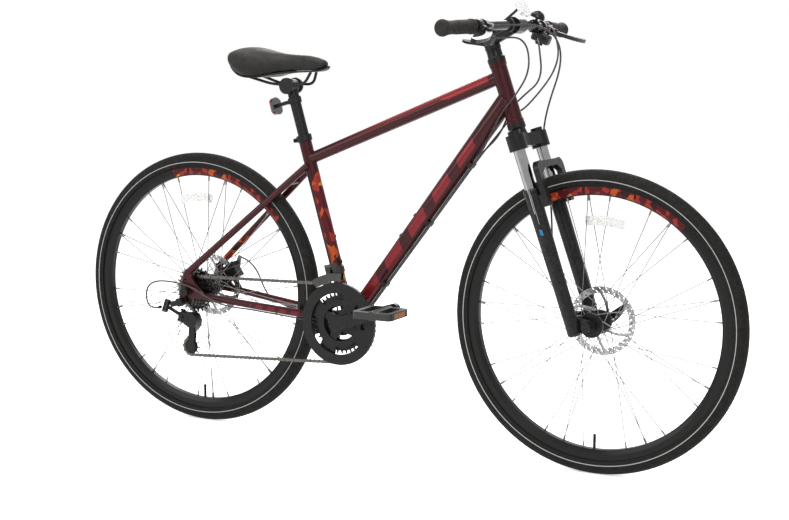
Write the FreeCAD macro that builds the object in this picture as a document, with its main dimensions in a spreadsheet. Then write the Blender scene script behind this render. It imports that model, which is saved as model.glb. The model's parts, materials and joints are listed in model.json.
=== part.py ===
import FreeCAD, Part
import math
import os

import Sketcher

# Hybrid bike: +X forward, +Y to the rider's left, +Z up, in millimetres.
# The origin lies on the ground, midway between the two axles.

Vector = FreeCAD.Vector
Placement = FreeCAD.Placement
Rotation = FreeCAD.Rotation

ORIGIN = Vector(0, 0, 0)
X_AXIS = Vector(1, 0, 0)
Y_AXIS = Vector(0, 1, 0)
Z_AXIS = Vector(0, 0, 1)
FULL_TURN = 360
QUARTER_TURN = 90
SIDES = {"right": -1, "left": 1}

SIZES = {
    # Layout of the frame
    "wheel_base": 1087,
    "bottom_bracket_drop": 49,
    "chainstay_length": 443,
    "seat_angle": 74,
    "head_angle": 71,
    "fork_rake": 49,
    "fork_length": 475.7,
    # Clearances
    "running_gap": 0.3,
    "bearing_gap": 0.05,
    "cut_overrun": 60,
    # Head tube and headset
    "head_tube_length": 148,
    "head_tube_diameter": 38,
    "head_tube_wall": 3,
    "head_rim_height": 9,
    "head_rim_swell": 1.5,
    "lower_cup_height": 13.7,
    "upper_cup_height": 13,
    "cup_diameter": 42,
    "cup_chamfer": 3,
    "steerer_diameter": 28.6,
    "steerer_wall": 2.5,
    # Main tubes
    "seat_tube_length": 472,
    "seat_tube_diameter": 31.8,
    "top_tube_seat_height": 411,
    "top_tube_head_drop": 33.7,
    "top_tube_rear_diameter": 28,
    "top_tube_front_diameter": 32,
    "down_tube_head_rise": 62.3,
    "down_tube_low_diameter": 37,
    "down_tube_high_diameter": 44,
    "tube_wall": 1.8,
    "shell_diameter": 42,
    "shell_width": 68,
    "shell_bore": 35,
    # Bottle bosses
    "boss_diameter": 9.5,
    "boss_stand": 2,
    "boss_depth": 12,
    "boss_bore": 5,
    "boss_pitch": 64,
    "down_boss_distance": 262,
    "seat_boss_distance": 147,
    # Stays and dropouts
    "chainstay_start_half_gap": 20,
    "chainstay_front_diameter": 21,
    "chainstay_rear_diameter": 17,
    "chainstay_end_ahead": 44,
    "chainstay_end_below": 10,
    "seatstay_start_height": 397,
    "seatstay_start_half_gap": 15,
    "seatstay_diameter": 17,
    "seatstay_end_ahead": 4,
    "seatstay_end_above": 50,
    "bridge_diameter": 13,
    "rear_over_locknuts": 135,
    "dropout_thickness": 6,
    "dropout_reach": 19,
    "eyelet_bore": 5,
    "eyelet_height": 30,
    "hanger_behind": 17,
    "hanger_below": 29,
    "hanger_radius": 10,
    # Seat collar, seatpost and saddle
    "collar_height": 15,
    "collar_wall": 3.2,
    "collar_ear_length": 9,
    "collar_ear_width": 15,
    "collar_slot": 3,
    "seatpost_diameter": 27.2,
    "seatpost_wall": 2.3,
    # The seatpost's top is measured from the end of the seat tube
    "seatpost_top": 126,
    "seatpost_length": 270,
    "post_clearance": 0.1,
    "saddle_clamp_diameter": 34,
    "saddle_clamp_width": 36,
    "clamp_plate_thickness": 7,
    "rail_diameter": 7,
    "rail_gap": 44,
    "rail_height_rise": 4,
    "saddle_length": 268,
    "saddle_width": 166,
    "saddle_height": 70,
    "saddle_behind": 160,
    "saddle_base_thickness": 4,
    "saddle_lift": 20,
    "rear_reflector_width": 40,
    "rear_reflector_height": 44,
    "rear_reflector_depth": 9,
    "rear_reflector_drop": 44,
    "bracket_wall": 3,
    "bracket_height": 14,
    "bracket_arm": 38,
    # Fork
    "stanchion_diameter": 28,
    "stanchion_wall": 2.2,
    "stanchion_spacing": 130,
    "leg_offset": 17,
    "crown_leg_top": 462,
    "crown_leg_bottom": 425,
    "crown_clamp_diameter": 43,
    "crown_arm_height": 30,
    "crown_arm_depth": 36,
    "crown_neck_diameter": 41,
    "stanchion_bottom": 120,
    "lower_leg_top": 334,
    "lower_leg_bottom": 12,
    "lower_leg_diameter": 36,
    "lower_leg_foot_diameter": 32,
    "seal_height": 9,
    "seal_diameter": 39,
    "arch_top": 389,
    "arch_thickness": 15,
    "arch_depth": 14,
    "arch_front": 54,
    "arch_pillar_width": 20,
    "arch_foot": 286,
    "front_over_locknuts": 100,
    "fork_dropout_thickness": 8,
    "fork_dropout_radius": 15,
    # Stem, spacers, handlebar and grips
    "stem_reach": 72,
    "stem_rise": 12,
    "stem_clamp_diameter": 37,
    "stem_clamp_height": 42,
    "stem_clamp_top": 711,
    "stem_neck_diameter": 30,
    "bar_clamp_diameter": 38,
    "bar_clamp_width": 44,
    "face_plate_gap": 3,
    "spacer_diameter": 35,
    "top_cap_height": 4,
    "bar_diameter": 22.2,
    "bar_centre_diameter": 25.4,
    "bar_half_width": 340,
    "bar_bend_start": 70,
    "bar_sweep": 27,
    "grip_length": 128,
    "grip_diameter": 31,
    "grip_end_diameter": 36,
    "grip_end_length": 12,
    "grip_inner_diameter": 34,
    "grip_cap": 4,
    # Brake levers, shifters and bell, with their places measured inward from the grips
    "perch_place": 26,
    "perch_width": 15,
    "perch_diameter": 31,
    "perch_reach": 34,
    "perch_height": 17,
    "lever_pivot_reach": 30,
    "lever_thickness": 9,
    "lever_length": 128,
    "lever_width": 13,
    "lever_tip_radius": 7,
    "lever_bow": 12,
    "lever_open_angle": 16,
    "lever_slot_gap": 0.4,
    "lever_pin_diameter": 5,
    "pod_place": 50,
    "pod_width": 26,
    "pod_length": 46,
    "pod_height": 24,
    "pod_drop": 22,
    "pod_forward": 12,
    "pod_barrel_diameter": 9,
    "pod_barrel_length": 18,
    "thumb_length": 44,
    "thumb_thickness": 5,
    "thumb_width": 17,
    "thumb_hub_radius": 9,
    "bell_diameter": 36,
    "bell_wall": 2,
    "bell_place": 104,
    "bell_stand": 36,
    "front_reflector_width": 54,
    "front_reflector_height": 44,
    "front_reflector_depth": 8,
    "front_reflector_above": 32,
    "front_reflector_ahead": 27,
    "front_reflector_tilt": -30,
    # Wheels
    "rim_seat_radius": 311,
    "tyre_section": 40,
    "tyre_wall": 3.2,
    "tyre_bead_half_width": 9.6,
    "tyre_bead_width": 3,
    "tyre_lip_half_width": 15.4,
    "rim_flange_height": 6.5,
    "rim_half_width": 12,
    "rim_flange_width": 2,
    "rim_bed_depth": 2,
    "rim_depth": 18,
    "rim_inner_half_width": 7,
    "rim_shoulder_depth": 6,
    "valve_radius": 3.4,
    "valve_length": 34,
    "spoke_diameter": 1.9,
    "spoke_flange_stagger": 2.2,
    "spoke_rim_offset": 2.6,
    "nipple_diameter": 4,
    "nipple_length": 12,
    "spoke_start": 2.6,
    "spoke_rim_gap": 0.7,
    "wheel_reflector_length": 100,
    "wheel_reflector_height": 21,
    "wheel_reflector_inset": 47,
    "flange_thickness": 6.2,
    "hub_body_radius": 15,
    "front_flange_radius": 28,
    "front_left_flange": 22,
    "front_right_flange": 34,
    "front_hub_end": 43,
    "rear_flange_radius": 30,
    "rear_left_flange": 34,
    "rear_right_flange": 21,
    "rear_hub_left_end": 61,
    "rear_hub_right_end": 30,
    "protector_radius": 76,
    "protector_thickness": 1.6,
    "protector_place": 27.6,
    "rotor_mount_radius": 23,
    "front_axle_radius": 4.6,
    "rear_axle_radius": 5,
    "axle_end": 7,
    "locknut_radius": 10,
    "skewer_nut_radius": 11,
    "skewer_nut_length": 15,
    "skewer_lever_length": 52,
    "skewer_lever_width": 14,
    "skewer_lever_thickness": 6,
    # Brake rotors and calipers
    "rotor_radius": 80,
    "rotor_band": 15,
    "rotor_thickness": 2,
    "rotor_bore": 16,
    "rotor_hub_radius": 25,
    "rotor_arm_width": 7,
    "rotor_slot_length": 4.4,
    "rotor_slot_width": 2.4,
    "front_rotor_place": 36,
    "rear_rotor_place": 50,
    "caliper_radius": 70,
    "caliper_length": 42,
    "caliper_height": 34,
    "caliper_inner_side": 8,
    "caliper_outer_side": 14,
    "caliper_slot": 6,
    "pad_gap": 0.4,
    "pad_length": 24,
    "pad_height": 17,
    "arm_hub_radius": 9,
    "arm_length": 38,
    "arm_thickness": 4,
    "arm_tip_radius": 5,
    # Chain and sprockets
    "chain_pitch": 12.7,
    "roller_diameter": 7.7,
    "tooth_root_gap": 0.25,
    "tooth_height": 3.2,
    "tooth_gap_floor": 3.2,
    "tooth_gap_mouth": 5.4,
    "sprocket_thickness": 2,
    "chain_line": 52,
    "link_inner_half_width": 1.25,
    "link_plate_thickness": 1,
    "link_plate_gap": 0.1,
    "link_plate_half_height": 4.2,
    "link_waist_half_height": 3.2,
    "cassette_pitch": 4.8,
    "cassette_bore": 34,
    "cassette_lockring_radius": 20,
    # Crankset
    "crank_length": 170,
    "crank_angle": 18,
    "crank_boss_radius": 17,
    "crank_eye_radius": 13,
    "crank_inner_face": 62,
    "crank_thickness": 14,
    "crank_boss_inner_face": 38.5,
    "spindle_radius": 8.5,
    "spindle_overlap": 22,
    "bottom_cup_radius": 20.5,
    "bottom_cup_flange": 3.6,
    "bottom_cup_depth": 14,
    "ring_pitch": 6,
    "spider_bolt_radius": 52,
    "spider_arm_width": 15,
    "inner_ring_bolt_radius": 32,
    "ring_bore_radius": 44,
    "small_ring_bore_radius": 24,
    "ring_band": 8,
    "guard_radius": 102,
    "guard_bore_radius": 76,
    "guard_thickness": 3,
    "guard_lip": 4,
    "guard_gap": 4.5,
    "guard_post_radius": 4,
    # Pedals
    "pedal_spindle_radius": 6,
    "pedal_start": 92,
    "pedal_width": 94,
    "pedal_length": 102,
    "pedal_thickness": 17,
    "pedal_barrel_radius": 11,
    "pedal_rail_width": 13,
    "pedal_corner": 10,
    "pedal_reflector_length": 52,
    "pedal_reflector_depth": 4,
    "pedal_reflector_height": 12,
    # Front derailleur
    "front_band_height": 128,
    "front_band_width": 15,
    "front_band_wall": 2.6,
    "cage_inner_radius": 105,
    "cage_height": 20,
    "cage_start_angle": 86,
    "cage_end_angle": 126,
    "cage_half_gap": 5.6,
    "cage_plate": 1.4,
    "front_pivot_height": 142,
    "front_pivot_side": 34,
    "front_pivot_radius": 5,
    "front_arm_width": 12,
    # Rear derailleur
    "guide_pulley_ahead": 3,
    "guide_pulley_below": 80,
    "pulley_distance": 68,
    "pulley_pin_radius": 3,
    "pulley_boss_radius": 7,
    "cage_plate_gap": 3.9,
    "cage_plate_thickness": 1.5,
    "cage_plate_radius": 15,
    "cage_waist_radius": 9,
    "knuckle_radius": 19,
    "knuckle_length": 20,
    "knuckle_pin_radius": 6,
    "mount_radius": 11,
    "mount_length": 14,
    "link_pivot_behind": 58,
    "link_pivot_below": 41,
    "link_pivot_side": 84,
    "link_knuckle_behind": 22,
    "link_knuckle_below": 66,
    "link_pin_radius": 4,
    "link_eye_radius": 8,
    "link_eye_height": 16,
    "link_slant": 30,
    "link_bar_thickness": 9,
    # Cables
    "barrel_radius": 4,
    "barrel_length": 24,
    "cable_diameter": 5,
    "clip_width": 12,
    "clip_wall": 2,
}

RING_TEETH = (48, 36, 26)
CASSETTE_TEETH = (14, 16, 18, 20, 22, 24, 28)
CHAIN_SPROCKET = 2
PULLEY_TEETH = 11
CHAIN_LINKS = 116
SPOKE_COUNT = 36
SPOKE_CROSSES = 3
ROTOR_ARMS = 6
ROTOR_SLOTS = 30
SPIDER_ARMS = 4
PULLEY_GAP_SHARE = 1.2

doc = FreeCAD.newDocument("HybridBike")
sheet = doc.addObject("Spreadsheet::Sheet", "Sizes")
for row, (alias, number) in enumerate(SIZES.items(), start=1):
    sheet.set("A%d" % row, alias)
    sheet.set("B%d" % row, str(number))
    sheet.setAlias("B%d" % row, alias)
doc.recompute()


def text_of(value):
    return value.text if isinstance(value, Size) else repr(float(value))


class Size(float):
    """A number that keeps the sheet expression it was worked out with."""

    def __new__(cls, value, text):
        made = super().__new__(cls, value)
        made.text = text
        return made

    def joined(self, other, sign, value, swapped=False):
        left, right = text_of(self), text_of(other)
        if swapped:
            left, right = right, left
        return Size(value, "(%s %s %s)" % (left, sign, right))

    def __add__(self, other):
        return self.joined(other, "+", float(self) + float(other))

    def __radd__(self, other):
        return self.joined(other, "+", float(other) + float(self), swapped=True)

    def __sub__(self, other):
        return self.joined(other, "-", float(self) - float(other))

    def __rsub__(self, other):
        return self.joined(other, "-", float(other) - float(self), swapped=True)

    def __mul__(self, other):
        return self.joined(other, "*", float(self) * float(other))

    def __rmul__(self, other):
        return self.joined(other, "*", float(other) * float(self), swapped=True)

    def __truediv__(self, other):
        return self.joined(other, "/", float(self) / float(other))

    def __neg__(self):
        return Size(-float(self), "(-%s)" % self.text)


class Sheet:
    """Reads a cell of the sheet by its alias."""

    def __getattr__(self, alias):
        return Size(float(sheet.get(alias)), "Sizes." + alias)


S = Sheet()


# Helpers that make bound objects

def bind(obj, name, value):
    setattr(obj, name, float(value))
    if isinstance(value, Size):
        obj.setExpression(name, value.text)


def along(start, direction):
    """A placement whose Z axis points along a direction."""
    return Placement(Vector(start), Rotation(Z_AXIS, Vector(direction)))


def cylinder(radius, length, place=Placement()):
    obj = doc.addObject("Part::Cylinder", "Cylinder")
    bind(obj, "Radius", radius)
    bind(obj, "Height", length)
    obj.Placement = place
    return obj


def cylinder_across(radius, low, high, x=0, z=0):
    """A cylinder along Y between two sides."""
    return cylinder(radius, high - low, along(Vector(x, low, z), Y_AXIS))


def cone(start_radius, end_radius, length, place=Placement()):
    obj = doc.addObject("Part::Cone", "Cone")
    bind(obj, "Radius1", start_radius)
    bind(obj, "Radius2", end_radius)
    bind(obj, "Height", length)
    obj.Placement = place
    return obj


def box(lengths, middle=ORIGIN, turn=Rotation()):
    """A box about its middle."""
    obj = doc.addObject("Part::Box", "Box")
    for name, value in zip(("Length", "Width", "Height"), lengths):
        bind(obj, name, value)
    half = Vector(*[float(value) / 2 for value in lengths])
    obj.Placement = Placement(Vector(middle), turn).multiply(Placement(-half, Rotation()))
    return obj


def cut(base, *tools):
    for tool in tools:
        obj = doc.addObject("Part::Cut", "Cut")
        obj.Base = base
        obj.Tool = tool
        base = obj
    return base


def fuse(*shapes):
    obj = doc.addObject("Part::MultiFuse", "Fusion")
    obj.Shapes = list(shapes)
    obj.Refine = True
    return obj


def group(*shapes):
    obj = doc.addObject("Part::Compound", "Group")
    obj.Links = list(shapes)
    return obj


def mirrored(source):
    """The same piece on the other side of the bike."""
    obj = doc.addObject("Part::Mirroring", "Mirror")
    obj.Source = source
    obj.Base = ORIGIN
    obj.Normal = Y_AXIS
    return obj


def shaped(shape):
    obj = doc.addObject("Part::Feature", "Shape")
    obj.Shape = shape
    return obj


def draw(sketch, outline):
    """Draws a closed outline of corners. A third entry bends the side after a corner through a point."""
    first = sketch.GeometryCount
    ends = []
    for index, corner in enumerate(outline):
        start = Vector(*corner[:2], 0)
        finish = Vector(*outline[(index + 1) % len(outline)][:2], 0)
        swapped = False
        if len(corner) == 3:
            middle = Vector(*corner[2], 0)
            swapped = (middle - start).cross(finish - middle).z < 0
            line = Part.Arc(finish, middle, start) if swapped else Part.Arc(start, middle, finish)
        else:
            line = Part.LineSegment(start, finish)
        sketch.addGeometry(line, False)
        ends.append((2, 1) if swapped else (1, 2))
    for index, corner in enumerate(outline):
        follower = (index + 1) % len(outline)
        here = first + index
        sketch.addConstraint(Sketcher.Constraint(
            "Coincident", here, ends[index][1], first + follower, ends[follower][0]))
        fix_point(sketch, here, ends[index][0], corner)
        if len(corner) == 3:
            middle = sketch.addGeometry(Part.Point(Vector(*corner[2], 0)), True)
            fix_point(sketch, middle, 1, corner[2])
            sketch.addConstraint(Sketcher.Constraint("PointOnObject", middle, 1, here))


def fix_point(sketch, geometry, position, point):
    for kind, value in zip(("DistanceX", "DistanceY"), point):
        number = sketch.addConstraint(Sketcher.Constraint(kind, -1, 1, geometry, position, float(value)))
        if isinstance(value, Size):
            sketch.setExpression("Constraints[%d]" % number, value.text)


def sketched(plane, outline):
    """A body with one sketch on an origin plane."""
    body = doc.addObject("PartDesign::Body", "Body")
    planes = {feature.Role: feature for feature in body.Origin.OriginFeatures}
    sketch = body.newObject("Sketcher::SketchObject", "Profile")
    sketch.AttachmentSupport = [(planes[plane], "")]
    sketch.MapMode = "FlatFace"
    draw(sketch, outline)
    return body, sketch


def revolved(outline, plane="XZ_Plane", place=Placement()):
    """Turns an outline of (radius, height) about the plane's upright axis."""
    body, sketch = sketched(plane, outline)
    feature = body.newObject("PartDesign::Revolution", "Revolution")
    feature.Profile = sketch
    feature.ReferenceAxis = (sketch, ["V_Axis"])
    feature.Angle = FULL_TURN
    body.Placement = place
    return body


def padded(outline, depth, plane="XZ_Plane", place=Placement()):
    """Pads an outline evenly to both sides of its plane."""
    body, sketch = sketched(plane, outline)
    feature = body.newObject("PartDesign::Pad", "Pad")
    feature.Profile = sketch
    feature.Midplane = True
    bind(feature, "Length", depth)
    body.Placement = place
    return body


def across(middle, x=0, z=0):
    """Moves a piece drawn about the middle plane to its place across the bike."""
    return Placement(Vector(x, middle, z), Rotation())


def polar(radius, degrees):
    return Vector(radius * math.cos(math.radians(degrees)), 0, radius * math.sin(math.radians(degrees)))


def bent_path(points, longest=None):
    """Straight runs joined by tangent arcs, each as large as its two runs, or the given length, allow."""
    run_share = 0.45
    edges = []
    here = points[0]
    for before, corner, after in zip(points, points[1:], points[2:]):
        run_in = (corner - before)
        run_out = (after - corner)
        short = run_share * min(run_in.Length, run_out.Length)
        if longest is not None:
            short = min(short, longest)
        run_in.normalize()
        run_out.normalize()
        enter = corner - run_in * short
        leave = corner + run_out * short
        bisector = (run_out - run_in)
        bisector.normalize()
        half_turn = run_in.getAngle(run_out) / 2
        radius = short / math.tan(half_turn)
        middle = corner + bisector * (radius / math.cos(half_turn) - radius)
        edges.append(Part.LineSegment(here, enter).toShape())
        edges.append(Part.Arc(enter, middle, leave).toShape())
        here = leave
    edges.append(Part.LineSegment(here, points[-1]).toShape())
    return Part.Wire(edges)


def tube_shape(points, radius, longest=None):
    path = bent_path([Vector(*point) for point in points], longest)
    start = path.Edges[0]
    heading = start.tangentAt(start.FirstParameter)
    ring = Part.Wire(Part.makeCircle(radius, path.Vertexes[0].Point, heading))
    return path.makePipeShell([ring], True, False)


def slot_face(start, end, start_radius, end_radius):
    """A flat tapered link outline in the XZ plane, round at both ends."""
    span = end - start
    lean = math.acos((start_radius - end_radius) / span.Length)
    heading = math.atan2(span.z, span.x)

    def rim(centre, radius, angle):
        return centre + Vector(radius * math.cos(angle), 0, radius * math.sin(angle))

    upper, lower = heading + lean, heading - lean
    start_upper, start_lower = rim(start, start_radius, upper), rim(start, start_radius, lower)
    end_upper, end_lower = rim(end, end_radius, upper), rim(end, end_radius, lower)
    edges = [
        Part.LineSegment(start_upper, end_upper).toShape(),
        Part.Arc(end_upper, rim(end, end_radius, heading), end_lower).toShape(),
        Part.LineSegment(end_lower, start_lower).toShape(),
        Part.Arc(start_lower, rim(start, start_radius, heading + math.pi), start_upper).toShape(),
    ]
    return Part.Face(Part.Wire(edges))


def slab(face, low, high):
    """Extrudes a face of the XZ plane between two sides."""
    return face.translated(Vector(0, low, 0)).extrude(Vector(0, high - low, 0))


NODES = {}


def node(name, obj, place=None):
    if place is not None:
        obj.Placement = place.multiply(obj.Placement)
    obj.Label = name
    NODES[name] = obj


# Main points and frames of the bike

def driving_points():
    axle_height = S.rim_seat_radius + S.tyre_section
    rear = Vector(-S.wheel_base / 2, 0, axle_height)
    front = Vector(S.wheel_base / 2, 0, axle_height)
    bracket_ahead = math.sqrt(S.chainstay_length ** 2 - S.bottom_bracket_drop ** 2)
    bracket = rear + Vector(bracket_ahead, 0, -S.bottom_bracket_drop)
    return rear, front, bracket


REAR, FRONT, BRACKET = driving_points()
STEER_TURN = Rotation(Y_AXIS, S.head_angle - QUARTER_TURN)
STEER_ORIGIN = FRONT - STEER_TURN.multVec(X_AXIS) * S.fork_rake
STEER = Placement(STEER_ORIGIN, STEER_TURN)
SEAT = Placement(BRACKET, Rotation(Y_AXIS, S.seat_angle - QUARTER_TURN))
AT_REAR = Placement(REAR, Rotation())
AT_FRONT = Placement(FRONT, Rotation())
AT_BRACKET = Placement(BRACKET, Rotation())

HEAD_BOTTOM = S.fork_length + S.lower_cup_height + S.running_gap
HEAD_TOP = HEAD_BOTTOM + S.head_tube_length


def on_steer(x, y, z):
    return STEER.multVec(Vector(x, y, z))


def on_seat(x, y, z):
    return SEAT.multVec(Vector(x, y, z))


# Front triangle

def head_tube():
    bore = S.head_tube_diameter / 2 - S.head_tube_wall
    outer = S.head_tube_diameter / 2
    swell = outer + S.head_rim_swell
    length = S.head_tube_length
    rim = S.head_rim_height
    outline = [(bore, 0), (swell, 0), (swell, rim), (outer, rim + S.head_rim_swell),
               (outer, length - rim - S.head_rim_swell), (swell, length - rim), (swell, length), (bore, length)]
    node("head_tube", revolved(outline), STEER.multiply(Placement(Vector(0, 0, HEAD_BOTTOM), Rotation())))


def solid_head():
    return cylinder(S.head_tube_diameter / 2, S.head_tube_length, along(on_steer(0, 0, HEAD_BOTTOM),
                                                                         on_steer(0, 0, HEAD_TOP) - STEER_ORIGIN))


def solid_seat():
    return cylinder(S.seat_tube_diameter / 2, S.seat_tube_length, SEAT)


def solid_shell():
    return cylinder_across(S.shell_diameter / 2, -S.shell_width / 2, S.shell_width / 2, BRACKET.x, BRACKET.z)


def hollow_taper(start, end, start_diameter, end_diameter):
    span = end - start
    length = span.Length
    place = along(start, span)
    outside = cone(start_diameter / 2, end_diameter / 2, length, place)
    inside = cone(start_diameter / 2 - S.tube_wall, end_diameter / 2 - S.tube_wall, length, place)
    return outside, inside


def top_tube():
    start = on_seat(0, 0, S.top_tube_seat_height)
    end = on_steer(0, 0, HEAD_TOP - S.top_tube_head_drop)
    outside, inside = hollow_taper(start, end, S.top_tube_rear_diameter, S.top_tube_front_diameter)
    node("top_tube", cut(outside, inside, solid_head(), solid_seat()))


def bosses(tube, start, heading, first, surface, normal):
    """Adds a pair of threaded bosses to a tube, standing on its surface."""
    holes = []
    bodies = [tube]
    for number in range(2):
        spot = start + heading * (first + S.boss_pitch * number) + normal * (surface + S.boss_stand)
        bodies.append(cylinder(S.boss_diameter / 2, S.boss_depth, along(spot, -normal)))
        holes.append(cylinder(S.boss_bore / 2, S.boss_depth + S.boss_stand * 2,
                              along(spot + normal * S.boss_stand, -normal)))
    return cut(fuse(*bodies), *holes)


def down_tube():
    start = Vector(BRACKET)
    end = on_steer(0, 0, HEAD_BOTTOM + S.down_tube_head_rise)
    outside, inside = hollow_taper(start, end, S.down_tube_low_diameter, S.down_tube_high_diameter)
    heading = end - start
    length = heading.Length
    heading.normalize()
    normal = heading.cross(Y_AXIS)
    taper = (S.down_tube_high_diameter - S.down_tube_low_diameter) / 2
    surface = S.down_tube_low_diameter / 2 + taper * (S.down_boss_distance / length)
    tube = bosses(cut(outside, inside), start, heading, S.down_boss_distance, surface, normal)
    clips = down_clips(start, heading, normal, length)
    node("down_tube", group(cut(tube, solid_head(), solid_seat(), solid_shell()), *clips))


CLIP_SHARES = (0.2, 0.48, 0.74)


def cable_height(share):
    """How far below the down tube's axis the cables run."""
    taper = S.down_tube_high_diameter - S.down_tube_low_diameter
    return (S.down_tube_low_diameter + taper * share) / 2 + S.clip_wall + S.cable_diameter / 2 + S.running_gap


def down_clips(start, heading, normal, length):
    """Blocks under the down tube that hold the three cables."""
    clips = []
    for share in CLIP_SHARES:
        depth = cable_height(share) + S.cable_diameter / 2
        middle = start + heading * (length * share) - normal * (depth / 2)
        block = box((depth, 3 * S.cable_diameter + 4 * S.clip_wall, S.clip_width), middle,
                    Rotation(normal * -1, Y_AXIS, heading, "XYZ"))
        hull = cone(S.down_tube_low_diameter / 2, S.down_tube_high_diameter / 2,
                    length, along(start, heading))
        bores = []
        for lane in (-1, 0, 1):
            spot = start - normal * cable_height(share) + Y_AXIS * (lane * cable_lane())
            bores.append(cylinder(S.cable_diameter / 2 + S.bearing_gap, length, along(spot, heading)))
        clips.append(cut(block, hull, *bores))
    return clips


def cable_lane():
    return S.cable_diameter + S.clip_wall / 2


def seat_tube():
    outside = solid_seat()
    bore = cylinder(S.seatpost_diameter / 2 + S.post_clearance, S.seat_tube_length, SEAT)
    start = Vector(BRACKET)
    heading = on_seat(0, 0, 1) - start
    normal = on_seat(1, 0, 0) - start
    tube = bosses(cut(outside, bore), start, heading, S.seat_boss_distance, S.seat_tube_diameter / 2, normal)
    node("seat_tube", cut(tube, solid_shell()))


def bottom_bracket_shell():
    bore = S.shell_bore / 2
    outer = S.shell_diameter / 2
    half = S.shell_width / 2
    node("bottom_bracket_shell", revolved([(bore, -half), (outer, -half), (outer, half), (bore, half)], "XY_Plane"),
         AT_BRACKET)


def bearing_cups():
    """Headset cups above and below the head tube, and the two bottom bracket cups."""
    bore = S.steerer_diameter / 2 + S.running_gap
    rim = S.cup_diameter / 2
    chamfer = S.cup_chamfer
    low = S.lower_cup_height
    lower = revolved([(bore, 0), (rim - chamfer, 0), (rim, chamfer), (rim, low), (bore, low)],
                     place=STEER.multiply(Placement(Vector(0, 0, HEAD_BOTTOM - low), Rotation())))
    high = S.upper_cup_height
    upper = revolved([(bore, 0), (rim, 0), (rim, high - chamfer), (rim - chamfer, high), (bore, high)],
                     place=STEER.multiply(Placement(Vector(0, 0, HEAD_TOP), Rotation())))
    hole = S.spindle_radius + S.bearing_gap
    face = S.shell_width / 2
    outline = [(hole, face - S.bottom_cup_depth), (S.shell_bore / 2, face - S.bottom_cup_depth),
               (S.shell_bore / 2, face), (S.bottom_cup_radius, face),
               (S.bottom_cup_radius, face + S.bottom_cup_flange), (hole, face + S.bottom_cup_flange)]
    left = revolved(outline, "XY_Plane", AT_BRACKET)
    right = mirrored(left)
    node("bearing_cups", group(lower, upper, left, right))


# Rear triangle

DROPOUT_MIDDLE = S.rear_over_locknuts / 2 + S.dropout_thickness / 2


def dropout_shape(side):
    """A flat end plate with an open axle slot. The right one carries the derailleur hanger."""
    middle = DROPOUT_MIDDLE * side
    reach = S.dropout_reach
    top = S.seatstay_end_above + S.seatstay_diameter / 4
    toe = S.chainstay_end_ahead + S.chainstay_rear_diameter / 4
    waist_share, heel_share, neck_share = 0.62, 0.9, 0.35
    outline = [
        (-reach, 0),
        (-reach * waist_share, S.eyelet_height),
        (-reach * neck_share, top),
        (reach * waist_share, top),
        (reach * heel_share, S.eyelet_height),
        (toe, S.chainstay_end_below * neck_share - S.chainstay_end_below / 2),
        (toe, -S.chainstay_end_below * 2),
        (reach, -reach * heel_share),
        (-reach * neck_share, -reach * heel_share, (-reach * heel_share, -reach * waist_share)),
    ]
    place = AT_REAR.multiply(across(middle))
    plate = padded(outline, S.dropout_thickness, place=place)
    low, high = sorted((middle - S.dropout_thickness, middle + S.dropout_thickness))
    slot_radius = S.rear_axle_radius + S.bearing_gap
    tools = [
        cylinder_across(slot_radius, low, high, REAR.x, REAR.z),
        box((slot_radius * 2, S.dropout_thickness * 3, reach * 2), REAR + Vector(0, middle, -reach)),
        cylinder_across(S.eyelet_bore / 2, low, high, REAR.x - reach * neck_share / 2, REAR.z + S.eyelet_height),
    ]
    if side == SIDES["right"]:
        face = slot_face(Vector(-reach * waist_share, 0, -reach * neck_share),
                         Vector(-S.hanger_behind, 0, -S.hanger_below), reach * waist_share * neck_share + S.eyelet_bore,
                         S.hanger_radius)
        inner_side, outer_side = middle - S.dropout_thickness / 2, middle + S.dropout_thickness / 2
        hanger = shaped(slab(face, inner_side, outer_side).translated(REAR))
        plate = fuse(plate, hanger)
    return cut(plate, *tools)


def dropouts():
    node("dropouts", group(dropout_shape(SIDES["right"]), dropout_shape(SIDES["left"])))


def stay(start, end, start_diameter, end_diameter):
    span = end - start
    return cone(start_diameter / 2, end_diameter / 2, span.Length, along(start, span))


def rear_stays():
    pieces = []
    bridged = [[], []]
    for side in SIDES.values():
        low_start = BRACKET + Vector(0, side * S.chainstay_start_half_gap, 0)
        low_end = REAR + Vector(S.chainstay_end_ahead, side * DROPOUT_MIDDLE, -S.chainstay_end_below)
        low = stay(low_start, low_end, S.chainstay_front_diameter, S.chainstay_rear_diameter)
        pieces.append(cut(low, solid_shell(), dropout_shape(side)))
        high_start = on_seat(0, side * S.seatstay_start_half_gap, S.seatstay_start_height)
        high_end = REAR + Vector(S.seatstay_end_ahead, side * DROPOUT_MIDDLE, S.seatstay_end_above)
        high = stay(high_start, high_end, S.seatstay_diameter, S.seatstay_diameter)
        pieces.append(cut(high, solid_seat(), dropout_shape(side)))
        bridged[0].append((low_start, low_end, low))
        bridged[1].append((high_start, high_end, high))
    bridge_shares = (0.145, 0.16)
    for pair, share in zip(bridged, bridge_shares):
        spots = [start + (end - start) * share for start, end, tube in pair]
        bridge = cylinder_across(S.bridge_diameter / 2, spots[0].y, spots[1].y, spots[0].x, spots[0].z)
        pieces.append(cut(bridge, *[tube for start, end, tube in pair]))
    node("rear_stays", group(*pieces))


# Seat

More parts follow.
